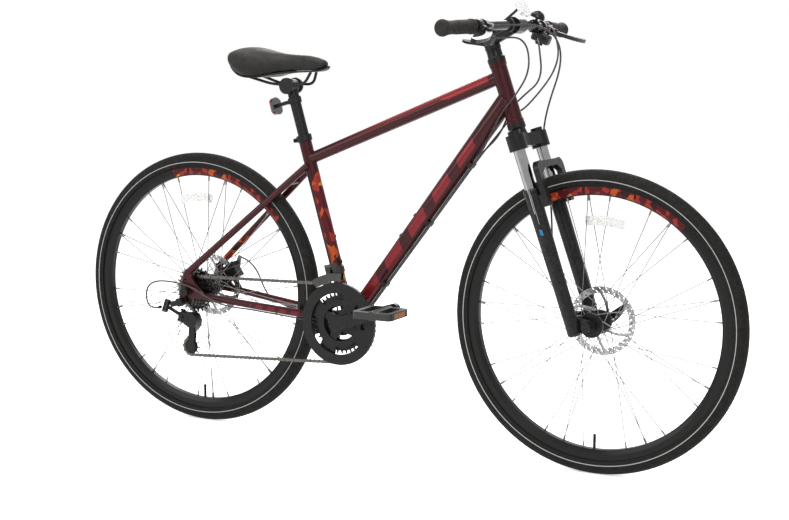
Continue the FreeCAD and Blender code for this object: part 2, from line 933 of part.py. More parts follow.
def seat_clamp():
    """A split collar with a bolt ear behind the seat tube."""
    inner = S.seat_tube_diameter / 2
    outer = inner + S.collar_wall
    height = S.collar_height
    place = SEAT.multiply(Placement(Vector(0, 0, S.seat_tube_length - height), Rotation()))
    ring = cut(cylinder(outer, height, place), cylinder(inner, height, place))
    ear_length = S.collar_ear_length + S.collar_wall
    ear = box((ear_length, S.collar_ear_width, height * 2 / 3),
              place.multVec(Vector(-inner - ear_length / 2, 0, height / 2)), place.Rotation)
    bolt = cylinder(height / 5, S.collar_ear_width * 1.5,
                    along(place.multVec(Vector(-outer - S.collar_ear_length / 2, -S.collar_ear_width * 0.75,
                                               height / 2)), Y_AXIS))
    slot = box((ear_length * 2, S.collar_slot, height * 2),
               place.multVec(Vector(-inner - ear_length / 2, 0, height / 2)), place.Rotation)
    middle = cylinder((inner + outer) / 2, height, place)
    node("seat_clamp", group(cut(fuse(ring, cut(ear, middle)), slot, bolt), bolt))


SEATPOST_TOP = S.seat_tube_length + S.seatpost_top
CLAMP = on_seat(0, 0, SEATPOST_TOP)
RAIL_HEIGHT = CLAMP.z + S.rail_height_rise
SADDLE_FLOOR = RAIL_HEIGHT + S.saddle_lift


def seatpost():
    """The post, with a clamp barrel through its head and a plate at each rail."""
    start = SEATPOST_TOP - S.seatpost_length
    radius, high = S.seatpost_diameter / 2, SEATPOST_TOP - S.saddle_clamp_diameter
    wall = radius - S.seatpost_wall
    post = revolved([(wall, start), (radius, start), (radius, SEATPOST_TOP), (0, SEATPOST_TOP), (0, high),
                     (wall, high)], place=SEAT)
    half = S.saddle_clamp_width / 2
    barrel = cut(cylinder_across(S.saddle_clamp_diameter / 2, -half, half, CLAMP.x, CLAMP.z), post)
    pieces = [post, barrel]
    rail = S.rail_diameter / 2 + S.bearing_gap
    for side in SIDES.values():
        low, high = sorted((side * half, side * (half + S.clamp_plate_thickness)))
        plate = cylinder_across(S.saddle_clamp_diameter / 2 + S.bracket_wall, low,
                                high, CLAMP.x, CLAMP.z)
        spot = Vector(CLAMP.x - S.saddle_clamp_diameter, side * S.rail_gap / 2, RAIL_HEIGHT)
        pieces.append(cut(plate, cylinder(rail, S.saddle_clamp_diameter * 2, along(spot, X_AXIS))))
    node("seatpost", group(*pieces))


# Shares of the saddle's length, half width and height, from the tail to the nose
SADDLE_SHARES = (
    (0.0, 0.40, 0.90, 0.60),
    (0.06, 0.80, 0.97, 0.30),
    (0.16, 0.97, 1.00, 0.08),
    (0.28, 1.00, 0.94, 0.00),
    (0.42, 0.76, 0.82, 0.06),
    (0.56, 0.48, 0.73, 0.15),
    (0.72, 0.33, 0.69, 0.19),
    (0.88, 0.28, 0.65, 0.22),
    (0.97, 0.20, 0.58, 0.29),
    (1.0, 0.10, 0.50, 0.37),
)


def saddle_station(shares):
    """One closed section across the saddle: flat below, drawn-in sides and a crowned top."""
    length_share, half_share, top_share, low_share = shares
    side_share, edge_share, waist_share = 0.8, 0.84, 0.55
    x = CLAMP.x - S.saddle_behind + S.saddle_length * length_share
    half = S.saddle_width / 2 * half_share
    low = SADDLE_FLOOR + S.saddle_height * low_share
    top = SADDLE_FLOOR + S.saddle_height * top_share
    shoulder = low + (top - low) * side_share
    waist = low + (top - low) * waist_share
    left_low, right_low = Vector(x, half * edge_share, low), Vector(x, -half * edge_share, low)
    left_high, right_high = Vector(x, half * edge_share, shoulder), Vector(x, -half * edge_share, shoulder)
    return Part.Wire([
        Part.LineSegment(left_low, right_low).toShape(),
        Part.Arc(right_low, Vector(x, -half, waist), right_high).toShape(),
        Part.Arc(right_high, Vector(x, 0, top), left_high).toShape(),
        Part.Arc(left_high, Vector(x, half, waist), left_low).toShape(),
    ])


def saddle():
    cover = Part.makeLoft([saddle_station(shares) for shares in SADDLE_SHARES], True, False)
    node("saddle_cover", shaped(cover))
    width_share = 0.88
    narrow = FreeCAD.Matrix()
    narrow.scale(1, width_share, 1)
    underside = min(cover.Faces, key=lambda face: face.CenterOfMass.z).transformGeometry(narrow)
    underside.translate(Vector(0, 0, -S.running_gap))
    node("saddle_base", shaped(underside.extrude(Vector(0, 0, -S.saddle_base_thickness))))
    floor = underside.translated(Vector(0, 0, -S.saddle_base_thickness - S.running_gap))
    keep = floor.extrude(Vector(0, 0, S.saddle_base_thickness + S.rail_diameter * 2))
    rails = []
    for side in SIDES.values():
        gap = side * S.rail_gap / 2
        points = [rail_socket(0.84, side * 0.3), (CLAMP.x + S.saddle_length * 0.19, gap, RAIL_HEIGHT),
                  (CLAMP.x - S.saddle_length * 0.15, gap, RAIL_HEIGHT), rail_socket(0.17, side * 0.75)]
        rails.append(shaped(tube_shape(points, S.rail_diameter / 2, S.rail_gap / 2).cut(keep)))
    node("saddle_rails", group(*rails))


def rail_socket(length_share, side_share):
    """Where a rail's axis meets the saddle base."""
    before, after = [(low, high) for low, high in zip(SADDLE_SHARES, SADDLE_SHARES[1:])
                     if low[0] <= length_share < high[0]][0]
    part = (length_share - before[0]) / (after[0] - before[0])
    low_share = before[3] + (after[3] - before[3]) * part
    height = SADDLE_FLOOR + S.saddle_height * low_share - S.saddle_base_thickness
    return (CLAMP.x - S.saddle_behind + S.saddle_length * length_share, S.rail_gap * side_share, height)


def rear_reflector():
    """A clip round the seatpost, an arm behind it and the reflector on its end."""
    inner = S.seatpost_diameter / 2
    outer = inner + S.bracket_wall
    height = S.bracket_height
    place = SEAT.multiply(Placement(Vector(0, 0, SEATPOST_TOP - S.rear_reflector_drop), Rotation()))
    ring = revolved([(inner, 0), (outer, 0), (outer, height), (inner, height)], place=place)
    arm = box((S.bracket_arm, height * 0.8, height * 0.6),
              place.multVec(Vector(-outer - S.bracket_arm / 2 + S.bracket_wall / 2, 0, height / 2)), place.Rotation)
    clip = cut(fuse(ring, arm), cylinder(inner, height * 2, place))
    edge = outer + S.bracket_arm - S.bracket_wall / 2
    half_width, half_height = S.rear_reflector_width / 2, S.rear_reflector_height / 2
    corner_share = 0.55
    outline = [(-half_width, -half_height * corner_share, (0, -half_height)), (half_width, -half_height * corner_share),
               (half_width, half_height * corner_share, (0, half_height)), (-half_width, half_height * corner_share)]
    lens = padded(outline, S.rear_reflector_depth, "YZ_Plane",
                  place=place.multiply(Placement(Vector(-edge - S.rear_reflector_depth / 2, 0, height / 2), Rotation())))
    node("rear_reflector", group(clip, lens))


# Fork and steering

LEG_SIDE = S.stanchion_spacing / 2


def flat_link(start, end, start_radius, end_radius, low, high):
    """A tapered round-ended block in the XY plane between two heights."""
    face = slot_face(Vector(start[0], 0, start[1]), Vector(end[0], 0, end[1]), start_radius, end_radius)
    shape = slab(face, -high, -low)
    shape.rotate(ORIGIN, X_AXIS, -QUARTER_TURN)
    return shape


def upright(radius, low, high, x=0, y=0):
    return cylinder(radius, high - low, along(Vector(x, y, low), Z_AXIS))


def fork_crown():
    """Crown with two leg clamps, and the steerer that stands in it."""
    low, high = S.crown_leg_bottom, S.crown_leg_top
    neck = S.crown_neck_diameter / 2
    pieces = []
    bores = []
    for side in SIDES.values():
        arm_low = high - S.crown_arm_height
        pieces.append(shaped(flat_link((0, 0), (S.leg_offset, side * LEG_SIDE), neck, S.crown_arm_depth / 2,
                                       arm_low, high)))
        pieces.append(upright(S.crown_clamp_diameter / 2, low, high, S.leg_offset, side * LEG_SIDE))
        bores.append(upright(S.stanchion_diameter / 2, low - S.cut_overrun, high - S.seal_height / 2, S.leg_offset,
                             side * LEG_SIDE))
        pieces.append(upright(S.stanchion_diameter / 2, high - S.seal_height / 4, high + S.seal_height, S.leg_offset,
                              side * LEG_SIDE))
    pieces.append(cone(neck, S.cup_diameter / 2 - S.cup_chamfer, S.fork_length - high,
                       along(Vector(0, 0, high), Z_AXIS)))
    crown = cut(fuse(*pieces), *bores)
    radius = S.steerer_diameter / 2
    wall = radius - S.steerer_wall
    steerer = revolved([(wall, S.fork_length), (radius, S.fork_length), (radius, S.stem_clamp_top),
                        (wall, S.stem_clamp_top)])
    node("fork_crown", group(crown, steerer), STEER)


def stanchions():
    radius, low, high = S.stanchion_diameter / 2, S.stanchion_bottom, S.crown_leg_top - S.seal_height / 2
    wall = radius - S.stanchion_wall
    outline = [(wall, low), (radius, low), (radius, high), (wall, high)]
    tubes = [revolved(outline, place=Placement(Vector(S.leg_offset, side * LEG_SIDE, 0), Rotation()))
             for side in SIDES.values()]
    node("stanchions", group(*tubes), STEER)


FORK_TRAVEL_SHARE = 0.7


def fork_lowers():
    """Both lower legs, joined by the arch in front of the tyre."""
    top, low = S.lower_leg_top, -S.lower_leg_bottom
    shoulder, foot = S.lower_leg_diameter / 2, S.lower_leg_foot_diameter / 2
    travel = (S.crown_leg_bottom - S.lower_leg_top) * FORK_TRAVEL_SHARE
    pieces, bores = [], []
    for side in SIDES.values():
        spot = Vector(S.leg_offset, side * LEG_SIDE, 0)
        chamfer = S.seal_height / 2
        seal = S.seal_diameter / 2
        outline = [(0, low), (foot - chamfer, low), (foot, low + chamfer), (foot, S.fork_dropout_radius),
                   (shoulder, S.arch_foot), (shoulder, top - S.seal_height), (seal, top - S.seal_height),
                   (seal, top - chamfer), (shoulder, top), (0, top)]
        pieces.append(revolved(outline, place=Placement(spot, Rotation())))
        bores.append(upright(S.stanchion_diameter / 2 + S.running_gap, S.stanchion_bottom - travel - S.seal_height,
                             top + S.cut_overrun, S.leg_offset, side * LEG_SIDE))
        inner = side * S.front_over_locknuts / 2
        outer = side * (S.front_over_locknuts / 2 + S.fork_dropout_thickness)
        face = slot_face(Vector(S.leg_offset, 0, S.fork_dropout_radius), Vector(S.fork_rake, 0, 0), foot * 0.95,
                         S.fork_dropout_radius)
        pieces.append(shaped(slab(face, *sorted((inner, outer)))))
        web_height = (top - S.arch_foot) * 0.6
        pieces.append(box((S.arch_front - S.leg_offset, S.arch_pillar_width * 0.8, web_height),
                          Vector((S.arch_front + S.leg_offset) / 2, side * LEG_SIDE,
                                 S.arch_foot + web_height / 2)))
        slot = S.front_axle_radius + S.bearing_gap
        bores.append(cylinder_across(slot, -S.front_over_locknuts, S.front_over_locknuts, S.fork_rake, 0))
        bores.append(box((slot * 2, S.fork_dropout_thickness * 2, S.fork_dropout_radius * 2),
                         Vector(S.fork_rake, (inner + outer) / 2, -S.fork_dropout_radius)))
    pieces.append(fork_arch())
    node("fork_lowers", cut(fuse(*pieces), *bores), STEER)


def fork_arch():
    outer = LEG_SIDE + S.arch_pillar_width / 2
    inner = LEG_SIDE - S.arch_pillar_width / 2
    top, thick, foot = S.arch_top, S.arch_thickness, S.arch_foot
    bend_share, knee_share = 0.62, 0.93
    knee = top - S.arch_pillar_width
    outline = [
        (-outer, foot), (-outer, knee, (-outer * knee_share, top - S.arch_pillar_width / 4)),
        (-outer * bend_share, top), (outer * bend_share, top, (outer * knee_share, top - S.arch_pillar_width / 4)),
        (outer, knee), (outer, foot), (inner, foot), (inner, knee - thick / 2),
        (inner * bend_share, top - thick), (-inner * bend_share, top - thick), (-inner, knee - thick / 2),
        (-inner, foot),
    ]
    place = Placement(Vector(S.arch_front - S.arch_depth / 2, 0, 0), Rotation())
    return padded(outline, S.arch_depth, "YZ_Plane", place=place)


BAR_HEIGHT = S.stem_clamp_top - S.stem_clamp_height / 2 + S.stem_rise


def stem():
    """Stem on the steerer with its split face plate, the spacers below and the cap above."""
    low, high = S.stem_clamp_top - S.stem_clamp_height, S.stem_clamp_top
    bore = S.steerer_diameter / 2
    steer_clamp = upright(S.stem_clamp_diameter / 2, low, high)
    middle = (low + high) / 2
    start, end = Vector(0, 0, middle), Vector(S.stem_reach, 0, BAR_HEIGHT)
    neck = cone(S.stem_neck_diameter / 2, S.stem_neck_diameter / 2, (end - start).Length,
                along(start, end - start))
    half = S.bar_clamp_width / 2
    ring = cylinder_across(S.bar_clamp_diameter / 2, -half, half, S.stem_reach, BAR_HEIGHT)
    front = box((S.bar_clamp_diameter, S.bar_clamp_width * 2, S.bar_clamp_diameter * 2),
                Vector(S.stem_reach + S.bar_clamp_diameter / 2, 0, BAR_HEIGHT))
    split = box((S.face_plate_gap, S.bar_clamp_width * 2, S.bar_clamp_diameter * 2),
                Vector(S.stem_reach, 0, BAR_HEIGHT))
    bar = cylinder_across(S.bar_centre_diameter / 2, -S.bar_clamp_width, S.bar_clamp_width, S.stem_reach, BAR_HEIGHT)
    steerer = upright(bore, low - S.cut_overrun, high + S.cut_overrun)
    body = cut(fuse(steer_clamp, neck, ring), steerer, bar, front, split)
    plate = doc.addObject("Part::Common", "Plate")
    plate.Base = ring
    plate.Tool = front
    plate = cut(plate, bar, split)
    floor = HEAD_TOP + S.upper_cup_height + S.running_gap
    step = (low - floor) / 2
    wide, slim = S.cup_diameter / 2 - S.cup_chamfer, S.spacer_diameter / 2
    cover = revolved([(bore, 0), (wide, 0), (slim, step), (bore, step)], place=Placement(Vector(0, 0, floor), Rotation()))
    spacer = revolved([(bore, 0), (slim, 0), (slim, step), (bore, step)],
                      place=Placement(Vector(0, 0, floor + step), Rotation()))
    cap = upright(S.spacer_diameter / 2, high, high + S.top_cap_height)
    node("stem", group(body, plate, cover, spacer, cap), STEER)


GRIP_START = S.bar_half_width - S.grip_length
PERCH_PLACE = GRIP_START - S.perch_place
POD_PLACE = GRIP_START - S.pod_place
BELL_PLACE = GRIP_START - S.bell_place


def bar_spot(distance, side):
    """A point of the bar's axis, and the outward heading there, in the steering frame."""
    run = S.bar_half_width - S.bar_bend_start
    share = max(0.0, (distance - S.bar_bend_start) / run)
    spot = Vector(S.stem_reach - S.bar_sweep * share, side * distance, BAR_HEIGHT)
    heading = Vector(-S.bar_sweep, side * run, 0) if share > 0 else Vector(0, side, 0)
    return spot, heading.normalize()


def other_side(points):
    return [Vector(point.x, -point.y, point.z) for point in points]


def handlebar():
    spot, heading = bar_spot(GRIP_START, SIDES["right"])
    end = spot + heading * (S.grip_length - S.grip_cap)
    bend = bar_spot(S.bar_bend_start, SIDES["right"])[0]
    points = [end, bend] + other_side([bend, end])
    bar = shaped(tube_shape(points, S.bar_diameter / 2, S.bar_bend_start / 2))
    half = S.bar_clamp_width / 2 + S.bar_diameter / 4
    centre = cylinder_across(S.bar_centre_diameter / 2, -half, half, S.stem_reach, BAR_HEIGHT)
    node("handlebar", fuse(bar, centre), STEER)


def grips():
    length = S.grip_length
    bore = S.bar_diameter / 2
    body, inner, end = S.grip_diameter / 2, S.grip_inner_diameter / 2, S.grip_end_diameter / 2
    lip = S.grip_end_length
    waist_share = 0.95
    outline = [(bore, 0), (inner, 0), (inner, lip / 2), (body, lip), (body, length / 2, (body * waist_share, length * 0.7)),
               (end, length - lip, (end, length - lip / 2)), (end - lip / 2, length), (0, length),
               (0, length - S.grip_cap), (bore, length - S.grip_cap)]
    pieces = []
    for side in SIDES.values():
        spot, heading = bar_spot(GRIP_START, side)
        pieces.append(revolved(outline, place=along(spot, heading)))
    node("grips", group(*pieces), STEER)


CONTROL_TILT = 42


def control_frame(distance):
    """A frame on the right half of the bar: X ahead and down, -Y outward along the bar."""
    spot, heading = bar_spot(distance, SIDES["right"])
    swing = math.degrees(math.atan2(heading.x, -heading.y))
    turn = Rotation(Z_AXIS, swing).multiply(Rotation(Y_AXIS, CONTROL_TILT))
    return STEER.multiply(Placement(spot, turn))


def ring_on_bar(distance, width, diameter):
    spot, heading = bar_spot(distance, SIDES["right"])
    start = spot - heading * (width / 2)
    place = STEER.multiply(along(start, heading))
    bore = S.bar_diameter / 2
    return revolved([(bore, 0), (diameter / 2, 0), (diameter / 2, width), (bore, width)], place=place)


def brake_outlet():
    return Vector((S.perch_diameter + S.pod_barrel_diameter) / 2 + S.lever_slot_gap, S.perch_width / 2,
                  (S.lever_thickness + S.pod_barrel_diameter) / 2 + S.lever_slot_gap)


def shift_outlet():
    return Vector(S.pod_forward * 1.5, S.pod_width / 2, -S.pod_drop)


def bar_controls():
    """On each side a brake lever perch and a shifter pod, each clamped round the bar, and the bell on the left."""
    perch = control_frame(PERCH_PLACE)
    bar = NODES["handlebar"]
    reach = S.perch_reach
    block = box((reach, S.perch_width, S.perch_height), perch.multVec(Vector(reach / 2, 0, 0)), perch.Rotation)
    slot = box((reach, S.perch_width * 2, S.lever_thickness + S.lever_slot_gap * 2),
               perch.multVec(Vector(S.perch_diameter / 2 + S.lever_slot_gap + reach / 2, 0, 0)), perch.Rotation)
    pin_length = S.perch_height + S.lever_slot_gap * 2
    pin = cylinder(S.lever_pin_diameter / 2, pin_length,
                   along(perch.multVec(Vector(S.lever_pivot_reach, 0, -pin_length / 2)), perch.Rotation.multVec(Z_AXIS)))
    yoke = cut(fuse(ring_on_bar(PERCH_PLACE, S.perch_width, S.perch_diameter), block), bar, slot)
    right_perch = fuse(yoke, pin)
    barrel = cylinder(S.pod_barrel_diameter / 2, S.pod_barrel_length,
                      along(perch.multVec(brake_outlet()), perch.Rotation.multVec(Y_AXIS)))
    pod = control_frame(POD_PLACE)
    shell = box((S.pod_length, S.pod_width, S.pod_height),
                pod.multVec(Vector(S.pod_forward, 0, -S.pod_drop)), pod.Rotation)
    rounded = doc.addObject("Part::Fillet", "RoundedPod")
    rounded.Base = shell
    rounded.Edges = [(edge, float(S.pod_height / 4), float(S.pod_height / 4)) for edge in range(1, 13)]
    neck = box((S.pod_width / 2, S.pod_width / 2, S.pod_drop),
               pod.multVec(Vector(0, 0, -S.pod_drop / 2)), pod.Rotation)
    right_pod = cut(fuse(ring_on_bar(POD_PLACE, S.pod_width / 2, S.perch_diameter), rounded, neck), bar)
    outlet = cylinder(S.pod_barrel_diameter / 2, S.pod_barrel_length,
                      along(pod.multVec(shift_outlet()), pod.Rotation.multVec(Y_AXIS)))
    right = [right_perch, barrel, right_pod, outlet]
    node("bar_controls", group(*right, *[mirrored(piece) for piece in right], bell()))


def bell():
    """A dome on a short post that is clamped to the bar."""
    radius, wall = S.bell_diameter / 2, S.bell_wall
    inner = radius - wall
    bolt = wall * 1.75
    waist_share = math.sqrt(1 / 2)
    frame = control_frame(BELL_PLACE)
    upward = frame.Rotation.multVec(Z_AXIS)
    post = cylinder(bolt, S.bell_stand + wall, along(frame.multVec(ORIGIN), upward))
    hole = bolt + S.bearing_gap
    outline = [(radius, 0, (radius * waist_share, radius * waist_share)),
               (hole, math.sqrt(radius * radius - hole * hole)), (hole, math.sqrt(inner * inner - hole * hole),
                                                                  (inner * waist_share, inner * waist_share)),
               (inner, 0)]
    dome = revolved(outline, place=along(frame.multVec(Vector(0, 0, S.bell_stand - inner)), upward))
    clip = ring_on_bar(BELL_PLACE, S.bell_wall * 4, S.perch_diameter)
    return mirrored(group(dome, cut(fuse(post, clip), NODES["handlebar"])))


def brake_levers():
    """Bowed lever blades that turn about an upright pin in their perches."""
    half = S.lever_width / 2
    tip, length, bow = S.lever_tip_radius, S.lever_length, S.lever_bow
    hub = S.perch_height * 0.42
    outline = [
        (hub, 0, (half + bow, -length / 2)),
        (tip + half / 2, -length, (half / 2, -length - tip)),
        (half / 2 - tip, -length, (bow - half, -length / 2)),
        (-hub, -hub, (-hub, hub)),
    ]
    frame = control_frame(PERCH_PLACE)
    place = frame.multiply(Placement(Vector(S.lever_pivot_reach, 0, 0), Rotation(Z_AXIS, S.lever_open_angle)))
    bore = cylinder(S.lever_pin_diameter / 2 + S.bearing_gap, S.perch_height * 2,
                    along(place.multVec(Vector(0, 0, -S.perch_height)), place.Rotation.multVec(Z_AXIS)))
    blade = cut(padded(outline, S.lever_thickness, "XY_Plane", place=place), bore)
    node("brake_lever_right", blade)
    node("brake_lever_left", mirrored(blade))


def thumb_levers():
    """Round-ended paddles under the shifter pods."""
    frame = control_frame(POD_PLACE)
    low = -S.pod_drop - S.pod_height / 2 - S.running_gap
    paddle = shaped(flat_link((0, 0), (-S.thumb_length * 0.35, -S.thumb_length), S.thumb_hub_radius,
                              S.thumb_width / 2, low - S.thumb_thickness, low))
    node("thumb_lever_right", paddle, frame.multiply(Placement(Vector(S.pod_forward, 0, 0), Rotation())))
    node("thumb_lever_left", mirrored(paddle))


def front_reflector():
    """A reflector on a bent arm that is clamped beside the stem."""
    place_along = (S.bar_clamp_width / 2 + S.bar_bend_start) / 2
    clip_width = S.bracket_height / 2
    clip = ring_on_bar(place_along, clip_width, S.perch_diameter)
    spot = Vector(S.stem_reach + S.front_reflector_ahead, 0, BAR_HEIGHT + S.front_reflector_above)
    turn = Rotation(Y_AXIS, QUARTER_TURN - S.head_angle + S.front_reflector_tilt)
    place = STEER.multiply(Placement(spot, turn))
    half_width, half_height = S.front_reflector_width / 2, S.front_reflector_height / 2
    corner_share = 0.6
    outline = [(-half_width, -half_height * corner_share, (0, -half_height)), (half_width, -half_height * corner_share),
               (half_width, half_height * corner_share, (0, half_height)), (-half_width, half_height * corner_share)]
    lens = padded(outline, S.front_reflector_depth, "YZ_Plane", place=place)
    foot = STEER.multVec(Vector(S.stem_reach, -place_along, BAR_HEIGHT + S.perch_diameter / 2 - S.bracket_wall / 2))
    head = place.multVec(Vector(-S.front_reflector_depth / 2, -half_width * corner_share, 0))
    span = head - foot
    arm = cylinder(S.bracket_wall, span.Length, along(foot, span))
    bracket = cut(fuse(clip, arm), NODES["handlebar"], lens)
    node("front_reflector", group(bracket, lens))


# Wheels

def tyre():
    seat, section = S.rim_seat_radius, S.tyre_section
    bead = seat - S.rim_bed_depth + S.running_gap
    lip = seat + S.rim_flange_height + S.running_gap * 2
    middle = seat + section / 2
    neck, wide = S.tyre_bead_half_width, S.tyre_lip_half_width
    throat = neck - S.tyre_bead_width
    cavity = section / 2 - S.tyre_wall * 2
    hollow = middle + S.tyre_wall
    inner = hollow - math.sqrt(cavity * cavity - throat * throat)
    outline = [
        (bead, throat), (bead, neck), (lip, neck),
        (lip, wide, (middle, section / 2)),
        (seat + section, 0, (middle, -section / 2)),
        (lip, -wide), (lip, -neck), (bead, -neck), (bead, -throat),
        (inner, -throat, (hollow, -cavity)),
        (hollow + cavity, 0, (hollow, cavity)),
        (inner, throat),
    ]
    return revolved(outline, "XY_Plane")


RIM_INNER = S.rim_seat_radius - S.rim_depth


def rim():
    """Box rim with upright flanges, and the valve at the bottom."""
    seat = S.rim_seat_radius
    flange = seat + S.rim_flange_height
    bed = seat - S.rim_bed_depth
    inner, slim = RIM_INNER, S.rim_inner_half_width
    wide = S.rim_half_width
    shoulder = bed - S.rim_shoulder_depth
    lip = wide - S.rim_flange_width
    outline = [(inner, slim), (shoulder, wide), (flange, wide), (flange, lip), (bed, lip), (bed, -lip), (flange, -lip),
               (flange, -wide), (shoulder, -wide), (inner, -slim)]
    hoop = revolved(outline, "XY_Plane")
    valve = cylinder(S.valve_radius, S.valve_length, along(Vector(0, 0, -inner + S.bearing_gap), Z_AXIS))
    return group(hoop, valve)


def spoke_shape(length):
    """A straight spoke with its nipple at the far end, along Z."""
    slim, thick = S.spoke_diameter / 2, S.nipple_diameter / 2
    neck = length - S.nipple_length
    corners = [(0, 0), (slim, 0), (slim, neck), (thick, neck), (thick, length), (0, length), (0, 0)]
    face = Part.Face(Part.makePolygon([Vector(x, 0, z) for x, z in corners]))
    return face.revolve(ORIGIN, Z_AXIS, FULL_TURN)


LACING_STEPS = SPOKE_CROSSES - 1 / 4


def spokes(name, place, flanges, flange_radius, reflector_angle, first, extras=()):
    """Three-cross lacing: each flange has leading and trailing spokes in turn, first those of the given sense."""
    shapes = []
    rim_radius = RIM_INNER - S.spoke_rim_gap
    per_flange = SPOKE_COUNT // 2
    step = FULL_TURN / per_flange
    for flange_number, flange in enumerate(flanges):
        inward = -1 if flange > 0 else 1
        for number in range(per_flange):
            lead = -first if number % 2 else first
            hub_angle = step * (number + flange_number / 2)
            rim_angle = hub_angle + lead * step * LACING_STEPS
            hub_point = polar(flange_radius, hub_angle)
            hub_point.y = flange + lead * S.spoke_flange_stagger
            rim_point = polar(rim_radius, rim_angle)
            rim_point.y = -inward * S.spoke_rim_offset
            heading = (rim_point - hub_point).normalize()
            start = hub_point + heading * S.spoke_start
            shape = spoke_shape((rim_point - start).Length)
            shape.Placement = along(start, heading)
            shapes.append(shape)
    shapes.append(wheel_reflector(flanges, flange_radius, reflector_angle))
    shapes.extend(extras)
    node(name, shaped(Part.makeCompound(shapes)), place)


def wheel_reflector(flanges, flange_radius, angle):
    """A curved bar that is clipped between the spokes of the two flanges."""
    outer = RIM_INNER - S.wheel_reflector_inset
    inner = outer - S.wheel_reflector_height
    rim_point = polar(RIM_INNER - S.spoke_rim_gap, FULL_TURN / (SPOKE_COUNT // 2) * LACING_STEPS)
    hub_point = polar(flange_radius, 0)
    run = rim_point - hub_point
    slope = hub_point.dot(run)
    reach = math.sqrt(slope ** 2 - run.Length ** 2 * (flange_radius ** 2 - outer ** 2))
    share = 1 - (reach - slope) / run.Length ** 2
    near = min(abs(float(flange)) for flange in flanges)
    half = S.spoke_rim_offset + (near - S.spoke_rim_offset - S.spoke_flange_stagger) * share
    half = half - S.spoke_diameter / 2 - S.running_gap
    spread = math.degrees(S.wheel_reflector_length / outer / 2)
    edges = [
        Part.Arc(polar(outer, angle - spread), polar(outer, angle), polar(outer, angle + spread)).toShape(),
        Part.LineSegment(polar(outer, angle + spread), polar(inner, angle + spread)).toShape(),
        Part.Arc(polar(inner, angle + spread), polar(inner, angle), polar(inner, angle - spread)).toShape(),
        Part.LineSegment(polar(inner, angle - spread), polar(outer, angle - spread)).toShape(),
    ]
    return slab(Part.Face(Part.Wire(edges)), -half, half)


def front_hub():
    thick = S.flange_thickness / 2
    body, flange, mount = S.hub_body_radius, S.front_flange_radius, S.rotor_mount_radius
    left, right, end = S.front_left_flange, -S.front_right_flange, S.front_hub_end
    face = S.front_rotor_place - S.rotor_thickness / 2
    bore = S.front_axle_radius + S.bearing_gap
    nose = S.rotor_bore
    outline = [(bore, -end), (body, -end), (body, right - thick), (flange, right - thick), (flange, right + thick),
               (body, right + thick * 2), (body, left - thick * 2), (flange, left - thick), (flange, left + thick),
               (mount, left + thick), (mount, face), (nose, face), (nose, end), (bore, end)]
    node("front_hub", revolved(outline, "XY_Plane"), AT_FRONT)


def rear_hub():
    thick = S.flange_thickness / 2
    body, flange, mount = S.hub_body_radius, S.rear_flange_radius, S.rotor_mount_radius
    left, right = S.rear_left_flange, -S.rear_right_flange
    face = S.rear_rotor_place - S.rotor_thickness / 2
    bore = S.rear_axle_radius + S.bearing_gap
    nose = S.rotor_bore
    neck = S.cassette_lockring_radius
    outline = [(bore, -S.rear_hub_right_end), (neck, -S.rear_hub_right_end), (neck, right - thick), (flange, right - thick),
               (flange, right + thick), (body, right + thick * 2), (body, left - thick * 2), (flange, left - thick),
               (flange, left + thick), (mount, left + thick), (mount, face), (nose, face), (nose, S.rear_hub_left_end),
               (bore, S.rear_hub_left_end)]
    node("rear_hub", revolved(outline, "XY_Plane"), AT_REAR)


def spoke_protector():
    """The clear disc between the cassette and the spokes."""
    high = -S.protector_place + S.protector_thickness / 2
    disc = Part.makeCylinder(S.protector_radius, S.protector_thickness, Vector(0, high, 0), -Y_AXIS)
    hole = Part.makeCylinder(S.cassette_lockring_radius, S.cut_overrun, Vector(0, high + S.cut_overrun / 2, 0), -Y_AXIS)
    return disc.cut(hole)


def rotor_window(angle, next_angle):
    """The gap between two curved arms."""
    outer, inner = S.rotor_radius - S.rotor_band, S.rotor_hub_radius
    sweep, bow_share = 34, 0.62
    outer_half = math.degrees(S.rotor_arm_width / outer / 2)
    inner_half = math.degrees(S.rotor_arm_width / inner / 2)
    bow = (outer + inner) / 2

    def arm_edge(at, sign):
        start = polar(inner, at + sign * inner_half)
        middle = polar(bow, at + sweep * bow_share + sign * math.degrees(S.rotor_arm_width / bow / 2))
        finish = polar(outer, at + sweep + sign * outer_half)
        return start, middle, finish

    first, last = arm_edge(angle, 1), arm_edge(next_angle, -1)
    far = polar(outer, (angle + next_angle) / 2 + sweep)
    near = polar(inner, (angle + next_angle) / 2)
    return Part.Wire([
        Part.Arc(*first).toShape(),
        Part.Arc(first[2], far, last[2]).toShape(),
        Part.Arc(last[2], last[1], last[0]).toShape(),
        Part.Arc(last[0], near, first[0]).toShape(),
    ])


def rotor_slot(radius, angle, slant):
    centre = polar(radius, angle)
    half = polar(S.rotor_slot_length / 2, angle + slant)
    wide = S.rotor_slot_width / 2
    face = slot_face(centre - half, centre + half, wide, wide)
    return face.OuterWire


def rotor(name, place, side):
    """Braking band with two rows of slots, on curved arms round the hub flange."""
    edge = S.rotor_radius
    wires = [Part.Wire(Part.makeCircle(edge, ORIGIN, Y_AXIS)), Part.Wire(Part.makeCircle(S.rotor_bore, ORIGIN, Y_AXIS))]
    arm_step = FULL_TURN / ROTOR_ARMS
    for number in range(ROTOR_ARMS):
        wires.append(rotor_window(number * arm_step, (number + 1) * arm_step))
    row_shares = (0.27, 0.73)
    slot_step = FULL_TURN / ROTOR_SLOTS
    for row_number, share in enumerate(row_shares):
        for number in range(ROTOR_SLOTS):
            angle = slot_step * (number + row_number / 2)
            wires.append(rotor_slot(edge - S.rotor_band * share, angle, QUARTER_TURN / 2))
    face = Part.Face(wires, "Part::FaceMakerBullseye")
    half = S.rotor_thickness / 2
    node(name, shaped(slab(face, side - half, side + half)), place)


